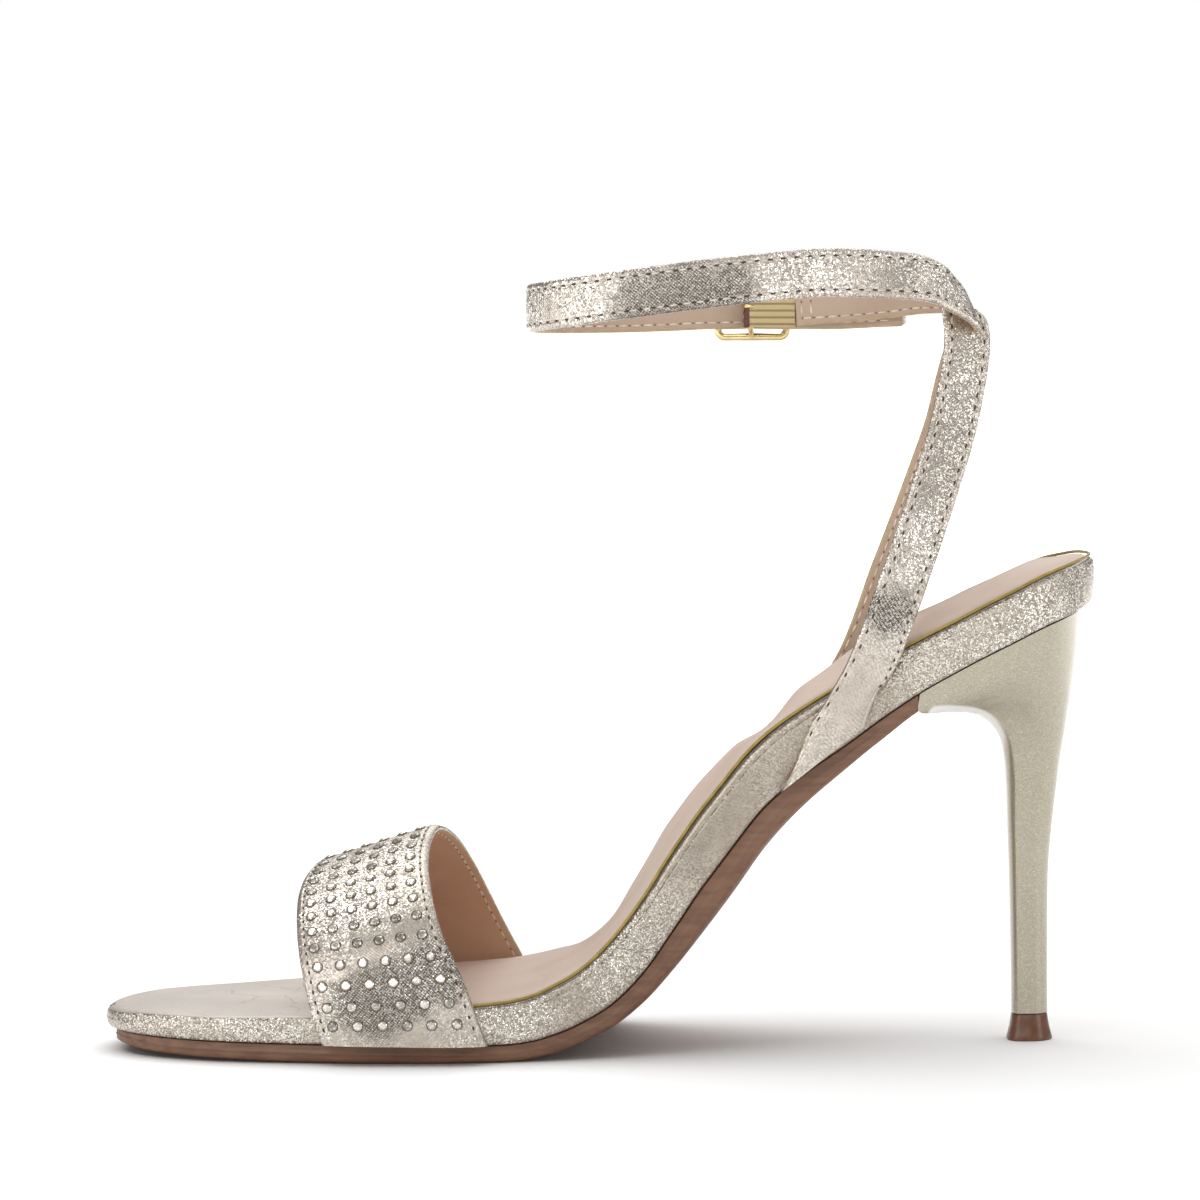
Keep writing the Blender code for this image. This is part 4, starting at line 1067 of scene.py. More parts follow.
@dataclass(frozen=True)
class SoleFinish:
    """Brown sole leather, drawn out along the shoe."""

    name: str
    colour: tuple
    shade: tuple

    def make(self) -> Material:
        """Return the material."""
        sheet = NodeSheet(self.name)
        streaks = {"Vector": sheet.place, "Scale": (60.0, 700.0, 700.0)}
        drawn = sheet.add("ShaderNodeMapping", streaks).outputs[0]
        streak = sheet.noise(1.0, 3.0, drawn)
        drift = sheet.noise(70.0, 2.0)
        base = sheet.mix(sheet.spread(streak, 0.3, 0.7), self.colour, self.shade)
        base = sheet.mix(sheet.times(drift, 0.4), base, shaded(self.colour, 1.35))
        normal = sheet.bump(streak, 0.00003, 0.5)
        normal = sheet.bump(sheet.noise(1500.0, 2.0), 0.00002, 0.4, normal)
        return sheet.finish(Base_Color=base, Roughness=0.46, Normal=normal)


@dataclass(frozen=True)
class WebbingFinish:
    """Gold elastic, woven fine across its ribs, with painted shade in the valleys between them."""

    name: str
    colour: tuple
    shade: tuple

    def make(self) -> Material:
        """Return the material."""
        sheet = NodeSheet(self.name)
        split = sheet.add("ShaderNodeSeparateXYZ", {0: sheet.metric()})
        ribs = sheet.math("COSINE", sheet.times(split.outputs[0], math.tau * ELASTIC_RIBS / ELASTIC_WIDTH))
        rows = sheet.math("SINE", sheet.times(split.outputs[1], math.tau / 0.00045))
        fuzz = sheet.noise(1400.0, 2.0)
        painted_valley_shade = sheet.spread(ribs, -1.0, -0.1, 1.0, 0.0)
        base = sheet.mix(sheet.times(sheet.spread(rows, -1.0, 1.0), 0.25), self.colour, self.shade)
        # painted shade in the valleys between the ribs
        base = sheet.mix(sheet.times(painted_valley_shade, 0.85), base, self.shade)
        height = sheet.plus(sheet.times(rows, 0.25), fuzz)
        normal = sheet.bump(height, 0.00004, 0.5)
        return sheet.finish(Base_Color=base, Roughness=0.58, Metallic=0.2, Normal=normal)


@dataclass(frozen=True)
class PlainFinish:
    """Small trim of one colour with a little drift."""

    name: str
    colour: tuple
    roughness: float = 0.6
    metallic: float = 0.0
    depth: float = 0.00002

    def make(self) -> Material:
        """Return the material."""
        sheet = NodeSheet(self.name)
        drift = sheet.noise(420.0, 2.0)
        shade = shaded(self.colour, 0.78)
        base = sheet.mix(sheet.spread(drift, 0.35, 0.65), self.colour, shade)
        normal = sheet.bump(sheet.noise(1800.0, 2.0), self.depth, 0.5)
        return sheet.finish(Base_Color=base, Roughness=self.roughness, Metallic=self.metallic, Normal=normal)


def worn(finish: Finish) -> Material:
    """Return a field of the wardrobe whose material is made with it."""
    return field(default_factory=finish.make)


@dataclass
class Wardrobe:
    """All finishes of the shoe, made once."""

    # the patches below are painted highlights and painted shade, set at listed points on each piece
    vamp: Material = worn(FoilFinish(
        "vamp_foil",
        sparkle=0.66,
        painted_highlight_patches=((-0.056, -0.030, 0.036, 0.012), (-0.060, -0.034, 0.012, 0.006)),
        painted_shade_patches=(
            (-0.050, -0.036, 0.014, 0.009), (-0.044, -0.037, 0.017, 0.009), (-0.037, -0.037, 0.021, 0.009),
        ),
        painted_calm_shade_patches=(
            (-0.050, -0.034, 0.027, 0.005), (-0.042, -0.034, 0.032, 0.006), (-0.040, -0.036, 0.006, 0.004),
        ),
    ))
    strap: Material = worn(FoilFinish(
        "strap_foil",
        sparkle=0.74,
        painted_highlight_patches=(
            (-0.003, -0.022, 0.163, 0.006), (0.045, -0.022, 0.170, 0.012),
            (0.076, -0.010, 0.169, 0.008), (0.070, -0.024, 0.112, 0.009),
        ),
        painted_shade_patches=(
            (0.012, -0.024, 0.165, 0.010), (0.020, -0.023, 0.167, 0.011),
            (0.028, -0.022, 0.168, 0.009), (0.063, -0.026, 0.098, 0.006),
        ),
        painted_calm_shade_patches=(
            (0.057, -0.026, 0.080, 0.009), (0.066, -0.014, 0.170, 0.005), (-0.010, -0.015, 0.163, 0.004),
        ),
    ))
    wrap: Material = worn(FoilFinish(
        "wrap_foil",
        sparkle=0.8,
        flake_size=0.00027,
        satin=tint(184, 172, 156),
        painted_highlight_patches=(
            (-0.074, -0.030, 0.008, 0.012), (-0.018, -0.035, 0.012, 0.010), (0.000, -0.030, 0.028, 0.012),
        ),
        painted_calm_shade_patches=((0.026, -0.026, 0.052, 0.012), (0.108, -0.006, 0.100, 0.004)),
    ))
    seam: Material = worn(
        FoilFinish("wrap_seam", sparkle=0.8, flake_size=0.0004, satin=tint(128, 116, 98), roughness=0.4)
    )
    toe: Material = worn(SatinFinish("toe_satin", tint(201, 192, 182), tint(146, 134, 120)))
    lining: Material = worn(LeatherFinish("strap_lining", tint(178, 156, 137), tint(160, 136, 115)))
    vamp_lining: Material = worn(
        LeatherFinish("vamp_lining", tint(198, 158, 130), tint(182, 140, 112), crease=0.00006)
    )
    sock: Material = worn(
        LeatherFinish("sock_leather", tint(202, 182, 168), tint(184, 162, 144), crease=0.0001)
    )
    piping: Material = worn(PlainFinish("piping_gold", tint(158, 138, 66), 0.36, 0.4))
    sole: Material = worn(SoleFinish("sole_brown", tint(122, 88, 66), tint(98, 68, 50)))
    tip: Material = worn(PlainFinish("tip_rubber", tint(112, 76, 56), 0.3))
    fold: Material = worn(PlainFinish("fold_brown", tint(92, 54, 36), 0.5))
    heel: Material = worn(PaintFinish("heel_paint", tint(176, 168, 148), tint(228, 222, 204)))
    gold: Material = worn(MetalFinish("gold_plate", tint(222, 200, 150)))
    bezel: Material = worn(MetalFinish("stone_rim", tint(122, 108, 86), 0.3))
    stone: Material = worn(CrystalFinish("clear_stone", tint(218, 212, 203), tint(140, 134, 124)))
    thread: Material = worn(PlainFinish("thread_cream", tint(212, 202, 188), 0.6))
    # dark marks of painted shade where the needle and the prong go through
    hole_shade: Material = worn(PlainFinish("needle_hole_shade", tint(74, 60, 48), 0.8))
    lining_thread: Material = worn(PlainFinish("lining_thread", tint(224, 208, 186), 0.6))
    # dark marks of painted shade where the needle goes through the lining
    lining_hole_shade: Material = worn(PlainFinish("lining_hole_shade", tint(136, 112, 90), 0.8))
    edge: Material = worn(PlainFinish("cut_edge", tint(186, 160, 118), 0.5))
    webbing: Material = worn(WebbingFinish("webbing_gold", tint(196, 178, 134), tint(128, 106, 70)))


@dataclass
class Stitching:
    """Rows of stitches, each with a short thread and a dark mark of painted shade where the needle went
    through.
    """

    pitch: float
    length_share: float = 0.62
    radius: float = 0.00027
    threads: list[Matrix] = field(default_factory=list)
    hole_shades: list[Matrix] = field(default_factory=list)

    def run(self, spot: Callable[[float], tuple[Vector, Vector]], first: float, last: float) -> None:
        """Add one row of stitches.

        Args:
            spot: gives the point on the surface and its normal at a distance along the row.
            first: distance where the row starts.
            last: distance where it ends.
        """
        count = max(1, int((last - first) / self.pitch))
        pitch = (last - first) / count
        for i in range(count):
            middle = first + (i + 0.5) * pitch
            point, normal = spot(middle)
            along = spot(min(last, middle + 0.0003))[0] - spot(max(first, middle - 0.0003))[0]
            self.threads.append(placed(point, along, normal))
            point, normal = spot(first + i * pitch)
            self.hole_shades.append(placed(point, along, normal))

    def sew(self, name: str, thread: Material, hole_shade: Material, slot: str) -> None:
        """Make all the rows as one piece of threads and one of dark needle marks of painted shade.

        Args:
            name: what is sewn.
            thread: the thread's material.
            hole_shade: the dark material of the needle marks, painted shade.
            slot: the name of a material slot, handed on to settle.
        """
        only()
        bpy.ops.mesh.primitive_uv_sphere_add(segments=8, ring_count=5, radius=1.0)
        bead = bpy.context.object
        long = self.pitch * self.length_share / 2
        bead.data.transform(Matrix.Diagonal((long, self.radius, self.radius * 0.8, 1.0)))
        settle(scattered(f"{name}_threads", bead, self.threads, thread), slot)
        only()
        # a flat dark disc of painted shade where the needle went through
        bpy.ops.mesh.primitive_uv_sphere_add(segments=8, ring_count=4, radius=1.0)
        dot = bpy.context.object
        size = self.pitch * (1 - self.length_share) / 2
        dot.data.transform(Matrix.Diagonal((size * 1.1, self.radius * 0.95, self.radius * 0.35, 1.0)))
        settle(scattered(f"{name}_holes", dot, self.hole_shades, hole_shade), slot)


@dataclass
class SoleUnit:
    """Outsole, wrapped board, padded sock and piping."""

    last: Last
    wear: Wardrobe
    stations: int = 190
    toe_crown: float = 0.0006
    ridge: float = 0.00016
    cord: float = 0.00034

    def outsole(self) -> None:
        """Build the brown sole with its rounded edge."""
        last = self.last

        def top(x: float) -> float:
            """Return the height of the sole's upper face."""
            return last.feather(x) - GAP * last.steep(x) / 2

        def at(share: float) -> Height:
            """Return the height at a share of the sole's own depth, which is fuller under the shank."""

            def read(x: float) -> float:
                """Return the height at x."""
                low = last.tread(x) - 0.0011 * fuller(x / LENGTH)
                return low + share * (top(x) - low)

            return read

        fuller = Curve((0.0, 0.47, 0.58, 0.78, 0.82, 1.0), (0.0, 0.0, 1.0, 1.0, 0.5, 0.5))
        # across as a share of the spread, height as a share of the depth, and inset, from the top down
        curve = (
            (0.0, 0.97, 0.0), (0.0, 0.80, 0.0), (0.0, 0.64, 0.0), (0.0, 0.60, -self.ridge),
            (0.0, 0.52, -self.ridge), (0.0, 0.48, 0.0), (0.0, 0.34, 0.0), (0.05, 0.20, 0.0),
            (0.16, 0.10, 0.0), (0.36, 0.045, 0.0), (0.68, 0.012, 0.0), (1.0, 0.0, 0.0),
        )
        rings = []
        for swing in even(0.13, last.swing_at(BREAST_ALONG * LENGTH), self.stations):
            spread = last.round(last.edge(swing, Side.INNER).x) / 2
            halves = {}
            for side in Side:
                halves[side] = [last.spot(swing, side, SOLE_INSET + 0.0003, 0.0, top)]
                for share, high, inset in curve:
                    place = (swing, side, SOLE_INSET + inset, spread * share, at(high))
                    halves[side].append(last.spot(*place))
            rings.append(halves[Side.INNER] + halves[Side.OUTER][::-1])
        settle(lofted("brown_outsole", rings, [self.wear.sole]), "sole_leather", "outsole")

    def board(self) -> None:
        """Build the wrapped board: glitter sides, a rim roll and the satin toe on top."""
        last = self.last

        def foot(x: float) -> float:
            """Return the height of the board's lower edge."""
            return last.feather(x) + GAP * last.steep(x) / 2

        def at(share: float) -> Height:
            """Return the height at a share of the board's depth."""
            return lambda x: foot(x) + share * (last.rim(x) - foot(x))

        def below(distance: float) -> Height:
            """Return the height at a distance below the rim."""
            return lambda x: last.rim(x) - distance * last.steep(x)

        rings, slots = [], []
        tops = even(0.0, 1.0, 21)
        for swing in even(0.035, math.pi - 0.035, self.stations + 30):
            x = last.edge(swing, Side.INNER).x
            along = x / LENGTH
            fold = 0.00018 * min(1.0, max(0.0, (along - 0.36) / 0.08), max(0.0, (0.92 - along) / 0.12))
            wall = [
                (0.0009, at(0.0)), (0.0004, at(0.03)), (0.00018, at(0.12)),
                (0.00002, at(0.3)), (-0.00006, at(0.48)), (0.0, below(0.0024)), (0.00004 + fold * 0.4, below(0.0019)), (0.00006 + fold, below(0.0016)),
                (0.00008 + fold * 0.2, below(0.0013)), (0.00014, below(0.0009)), (0.00038, below(0.00045)),
                (0.0008, below(0.00016)), (0.0013, below(0.00003)),
            ]
            ring = [last.spot(swing, Side.INNER, inset, 0.0, height) for inset, height in wall]
            for share in tops:
                dome = 1 - (2 * share - 1) ** 4
                crown = self.toe_crown * dome * clamp((SOCK_START + 0.02 - along) / 0.1)
                crown *= min(1.0, along / 0.08)
                ring.append(last.spot(swing, Side.INNER, 0.0018, share, lambda h, c=crown: last.rim(h) + c))
            ring += [last.spot(swing, Side.OUTER, inset, 0.0, height) for inset, height in reversed(wall)]
            rings.append(ring)
            satin = 2 if x < SOCK_START * LENGTH else 0
            seam = 2 if 0.44 < along < 0.86 else 0
            side = [0] * 6 + [seam] + [0] * 5
            side = side[: 12 - satin] + [1] * satin
            slots += side + [1] * (len(tops) + 1) + side[::-1] + [0]
        slots = slots[: -len(rings[0])]
        board = lofted("wrapped_board", rings, [self.wear.wrap, self.wear.toe, self.wear.seam], slots)
        settle(board, "metallic_wrap", "platform_board")

    def sock(self) -> None:
        """Build the padded sock, crowned over the arch, soft at its edge."""
        last = self.last

        def height(share: float, edge: float) -> Height:
            """Return the sock's height for a share of the way across and a share of its edge."""
            dome = max(0.0, 1 - (2 * share - 1) ** 2) ** 0.7

            def read(x: float) -> float:
                """Return the height at x."""
                ripple = 0.00012 * math.sin(x * 310 + 5 * share) * math.sin(x * 127 + 2) * dome
                full = min(1.0, max(0.15, (0.972 - x / LENGTH) / 0.03))
                thick = GAP + SOCK_EDGE * edge * full + last.puff(x) * dome + ripple
                return last.rim(x) + thick * last.steep(x)

            return read

        rings = []
        across = [0.015, 0.04, 0.08, 0.13] + even(0.2, 0.8, 15) + [0.87, 0.92, 0.96, 0.985]
        edge = ((0.0004, 0.0), (0.0001, 0.25), (0.0, 0.55), (0.0002, 0.85))
        for swing in even(last.swing_at(SOCK_START * LENGTH), math.pi - 0.045, self.stations):
            inner, outer = (
                [last.spot(swing, side, SOCK_INSET + inset, 0.0, height(0.0, high)) for inset, high in edge]
                for side in Side
            )
            top = [last.spot(swing, Side.INNER, SOCK_INSET, share, height(share, 1.0)) for share in across]
            rings.append(inner + top + outer[::-1])
        piece = settle(lofted("padded_sock", rings, [self.wear.sock]), "lining", "insole_sock")

    def piping(self) -> None:
        """Build the gold cord in the seam between board and sock."""
        last = self.last

        def middle(x: float) -> float:
            """Return the height of the cord's middle at x."""
            return last.rim(x) + (GAP + self.cord) * last.steep(x)

        swings = even(last.swing_at((SOCK_START + 0.004) * LENGTH), math.pi, 150)
        path = []
        for side, order in ((Side.INNER, swings), (Side.OUTER, swings[-2::-1])):
            path += [last.spot(swing, side, PIPING_INSET, 0.0, middle) for swing in order]
        cord = tube("gold_piping", path, [UP] * len(path), self.cord, self.wear.piping, 8)
        settle(cord, "piping", "sock_piping")

    def build(self) -> None:
        """Build every layer."""
        self.outsole()
        self.board()
        self.sock()
        self.piping()


@dataclass
class HeelUnit:
    """The painted heel and its top piece."""

    last: Last
    wear: Wardrobe
    round: int = 72
    levels: int = 120
    # width and lowest height of the painted reflection band along the breast
    sheen_wide: float = 0.0020
    sheen_low: float = 0.058

    def ring(self, level: int) -> list[Vector]:
        """Draw one of the heel's own levels.

        Args:
            level: its number, 0 at the seat.

        Returns:
            Its points, from the breast's middle round both sides.
        """
        last, row = self.last, HEEL_ROWS[level]
        low, high = HEEL_ROWS[-1], HEEL_ROWS[0]
        foot = TIP_HEIGHT + GAP
        ends = []
        for name in ("front", "back"):
            seat = last.feather(getattr(high, name) * LENGTH) - GAP * 1.15
            base = getattr(low, f"{name}_up")
            share = (getattr(row, f"{name}_up") - base) / (getattr(high, f"{name}_up") - base)
            ends.append(Vector((getattr(row, name) * LENGTH, 0.0, foot + share * (seat - foot))))
        front, back = ends
        if level > len(HEEL_ROWS) - 3:
            back.z = front.z = (front.z + back.z) / 2
        ring = []
        for i in range(self.round):
            angle = math.tau * i / self.round
            spot = front.lerp(back, (1 - math.cos(angle)) / 2)
            fill = row.square * max(0.0, math.cos(angle)) ** 0.5
            fullness = max(abs(math.sin(angle)), min(1.0, abs(math.sin(angle)) + fill)) if i else 0.0
            side = Side.INNER if angle < math.pi else Side.OUTER
            half = row.half * SEAT_WIDTH * fullness
            if level == 0:
                spot.z = last.feather(spot.x) - GAP * last.steep(spot.x) / 2
                edge = abs(last.edge(last.swing_at(spot.x), side, HEEL_SEAT_INSET).y)
                half = min(half / row.half * 0.5, edge) if i else 0.0
            ahead = row.bulge * SHAFT_WIDTH * max(0.0, math.cos(angle)) ** 3
            ring.append(world(spot.x - ahead * 0.3, side.value * half, spot.z - ahead * 0.6))
        return ring

    def mark_painted_sheen(self, heel: Piece, rings: Sequence[Sequence[Vector]]) -> None:
        """Mark the band along the breast's curve that the paint lightens, a painted reflection of the floor.

        Args:
            heel: the heel.
            rings: its levels, each from the breast's middle.
        """
        line = np.array([(ring[0].x, ring[0].z) for ring in rings[round(0.14 * len(rings)) :]])
        spots = np.array([(v.co.x, v.co.z) for v in heel.data.vertices])
        away = np.linalg.norm(spots[:, None, :] - line[None, :, :], axis=2).min(axis=1)
        fade = np.clip((spots[:, 1] - self.sheen_low) / 0.016, 0.0, 1.0)
        mark = np.clip(1.0 - away / (2 * self.sheen_wide), 0.0, 1.0) * fade
        heel.data.attributes.new(PAINTED_SHEEN_MARK, "FLOAT", "POINT").data.foreach_set("value", mark.astype(np.float32))

    def build(self) -> None:
        """Build the heel through its levels, and its top piece."""
        keys = np.array([[tuple(p) for p in self.ring(level)] for level in range(len(HEEL_ROWS))])
        knots = np.arange(len(HEEL_ROWS), dtype=float)
        rings = []
        for at in even(0.0, knots[-1], self.levels):
            flat = flowing(knots, keys.reshape(len(keys), -1), at).reshape(-1, 3)
            rings.append([Vector(p) for p in flat])
        heel = lofted("painted_heel", rings, [self.wear.heel], smooth=42.0)
        self.mark_painted_sheen(heel, rings)
        settle(heel, "heel_paint", "heel")
        self.tip(rings[-1])

    def tip(self, top: Sequence[Vector]) -> None:
        """Build the top piece, which flares from the heel's lowest level to the floor.

        Args:
            top: the heel's lowest level.
        """
        centre = sum(top, Vector()) / len(top)
        # height as a share of the tip's, and flare as a share of the largest
        stops = (
            (1.0, -0.12), (0.96, 0.0), (0.75, 0.18), (0.5, 0.42),
            (0.25, 0.75), (0.08, 1.0), (0.03, 0.97), (0.0, 0.85),
        )
        tip = []
        for height, flare in stops:
            tip.append([])
            for point in top:
                out = Vector((point.x - centre.x, point.y - centre.y, 0.0)).normalized()
                tip[-1].append(Vector((point.x, point.y, TIP_HEIGHT * height)) + out * (TIP_FLARE * flare))
        settle(lofted("brown_heel_tip", tip, [self.wear.tip], smooth=40.0), "top_piece", "heel_tip")


@dataclass
class VampStrap:
    """The broad band over the forefoot with its stones, stitches and lining."""

    last: Last
    wear: Wardrobe
    pitch: float = 0.0047
    columns: int = 6
    first_column: float = 0.11
    last_column: float = 0.87
    stone_radius: float = 0.00108
    stone_height: float = 0.00046
    stitch_pitch: float = 0.0023
    stitch_inset: float = 0.0015
    around_count: int = 150

    def __post_init__(self) -> None:
        """Fill the tables of the band."""
        self.knots = np.arange(len(VAMP_ROWS), dtype=float)
        self.rows = np.array([tuple(row) for row in VAMP_ROWS])
        self.places = np.linspace(0.0, self.knots[-1], 281)
        middle = [self.point(place, 0.5) for place in self.places]
        steps = [(b - a).length for a, b in zip(middle, middle[1:])]
        self.distances = np.concatenate([[0.0], np.cumsum(steps)])
        self.total = float(self.distances[-1])

    def point(self, around: float, share: float) -> Vector:
        """Return the inner face of the band.

        Args:
            around: place around the foot, in rows.
            share: 0 at the front edge to 1 at the back edge.

        Returns:
            The point in the row frame.
        """
        last = self.last
        out, rise, front, width = flowing(self.knots, self.rows, around)
        x = (front - 0.0050 - 0.0018 * min(1.0, 2 * rise)) * LENGTH + share * width * VAMP_WIDTH
        inner, outer = last.half(x, Side.INNER), last.half(x, Side.OUTER)
        blend = clamp((out + 1) / 2)
        reach = inner + (outer - inner) * blend + WALL_CLEARANCE
        height = VAMP_FRONT_HEIGHT + (VAMP_BACK_HEIGHT - VAMP_FRONT_HEIGHT) * share
        return world(x, out * reach, last.feather(x) + GAP - last.drop(x) * blend + rise * height)

    def normal(self, around: float, share: float) -> Vector:
        """Work out the band's outward direction.

        Args:
            around: place around the foot, in rows.
            share: 0 at the front edge to 1 at the back edge.

        Returns:
            The direction, one metre long.
        """
        end = self.knots[-1]
        a = self.point(max(0.0, around - 0.1), share)
        b = self.point(min(end, around + 0.1), share)
        fore = self.point(around, share - 0.02)
        aft = self.point(around, share + 0.02)
        return (aft - fore).cross(b - a).normalized()

    def at(self, distance: float) -> float:
        """Return the place around at a distance along the band's middle."""
        return float(np.interp(distance, self.distances, self.places))

    def width(self, around: float) -> float:
        """Return the band's width at a place around."""
        return (self.point(around, 1.0) - self.point(around, 0.0)).length

    def band(self) -> None:
        """Build the hollow band with its folded edges and soft pillow."""
        rings = []
        thick = VAMP_THICK
        insets = (0.0003, 0.0007, 0.0011, 0.0014, 0.0016, 0.0019, 0.0024, 0.0032)
        crown = 19
        plain = 0.0044
        # how far the folded edge stands out, and at which share of the thickness
        edge = ((0.00012, 0.62), (0.00022, 0.4), (0.00012, 0.15))
        for distance in even(0.0, self.total, self.around_count):
            around = self.at(distance)
            width = self.width(around)
            shares = [inset / width for inset in insets] + even(plain / width, 1 - plain / width, crown)
            shares += [1 - inset / width for inset in reversed(insets)]
            ring = []
            for share in shares:
                near = min(share, 1 - share) * width
                lift = thick * (1.0 - 0.30 * dip(near, 0.0, 0.0006))
                lift -= 0.00016 * dip(near, self.stitch_inset, 0.0003)
                ring.append(self.point(around, share) + self.normal(around, share) * lift)
            back, front = self.normal(around, 1.0), self.normal(around, 0.0)
            ring += [self.point(around, 1 + out / width) + back * (thick * up) for out, up in edge]
            ring += [self.point(around, share) for share in even(0.994, 0.006, 13)]
            ring += [self.point(around, -out / width) + front * (thick * up) for out, up in reversed(edge)]
            rings.append(ring)
        outer = len(insets) * 2 + crown
        slots = [0] * (outer - 1) + [0, 0, 0] + [2] + [1] * 12 + [2] + [0, 0, 0]
        slots += [0] * (len(rings[0]) - len(slots))
        materials = [self.wear.vamp, self.wear.vamp_lining, self.wear.edge]
        settle(lofted("vamp_band", rings, materials, slots), "metallic_wrap", "vamp_strap")

    def stones(self) -> None:
        """Set the crystals in their rims, six to a row."""
        rows = int((self.total - 2 * self.pitch) / self.pitch) + 1
        first = (self.total - (rows - 1) * self.pitch) / 2
        places = []
        for row in range(rows):
            around = self.at(first + row * self.pitch)
            ahead = self.point(around, 1.0) - self.point(around, 0.0)
            for share in even(self.first_column, self.last_column, self.columns):
                normal = self.normal(around, share)
                turn = Matrix.Rotation(math.radians(37 * len(places)), 4, "Z")
                places.append(placed(self.point(around, share) + normal * VAMP_THICK, ahead, normal) @ turn)
        crystals = scattered("crystals", self.stone_pattern(), places, self.wear.stone, smooth=False)
        settle(crystals, "metallic_wrap")
        only()
        bpy.ops.mesh.primitive_torus_add(
            major_segments=16, minor_segments=6, major_radius=self.stone_radius + 0.00006, minor_radius=0.00013
        )
        rim = bpy.context.object
        rim.data.transform(Matrix.Translation((0.0, 0.0, 0.00006)) @ Matrix.Diagonal((1.0, 1.0, 1.3, 1.0)))
        settle(scattered("crystal_rims", rim, places, self.wear.bezel), "metallic_wrap")

    def stone_pattern(self) -> Piece:
        """Model one cut crystal: a girdle, ten sloped facets and a table."""
        only()
        bpy.ops.mesh.primitive_circle_add(vertices=10, radius=self.stone_radius, fill_type="NGON")
        stone = bpy.context.object
        centre = (0.0, 0.0, 0.0)
        bpy.ops.object.mode_set(mode="EDIT")
        for rise, size, turn in ((0.3, 1.0, 0.0), (0.45, 0.78, 18.0), (0.25, 0.8, 18.0)):
            up = {"value": (0.0, 0.0, self.stone_height * rise)}
            bpy.ops.mesh.extrude_region_move(TRANSFORM_OT_translate=up)
            bpy.ops.transform.resize(value=(size, size, 1.0), center_override=centre)
            bpy.ops.transform.rotate(value=math.radians(turn), orient_axis="Z", center_override=centre)
        bpy.ops.mesh.select_all(action="SELECT")
        bpy.ops.mesh.normals_make_consistent(inside=False)
        bpy.ops.mesh.quads_convert_to_tris()
        bpy.ops.object.mode_set(mode="OBJECT")
        return stone

    def stitches(self) -> None:
        """Sew both edges, with the thread showing outside and in the lining."""
        outside = Stitching(self.stitch_pitch)
        lining = Stitching(self.stitch_pitch, length_share=0.8, radius=0.00024)
        for edge in (0, 1):
            for inside, sewing in ((False, outside), (True, lining)):

                def spot(distance: float, edge: int = edge, inside: bool = inside) -> tuple[Vector, Vector]:
                    """Return the surface point and normal on a stitch row."""
                    around = self.at(distance)
                    inset = self.stitch_inset / self.width(around)
                    share = inset if edge == 0 else 1 - inset
                    normal = self.normal(around, share)
                    lift = -0.00002 if inside else VAMP_THICK - 0.00008
                    return self.point(around, share) + normal * lift, normal * (-1 if inside else 1)

                sewing.run(spot, 0.004, self.total - 0.004)
        outside.sew("vamp", self.wear.thread, self.wear.hole_shade, "metallic_wrap")
        lining.sew("vamp_lining", self.wear.lining_thread, self.wear.lining_hole_shade, "lining")

    def build(self) -> None:
        """Build the band and all that sits on it."""
        self.band()
        self.stones()
        self.stitches()


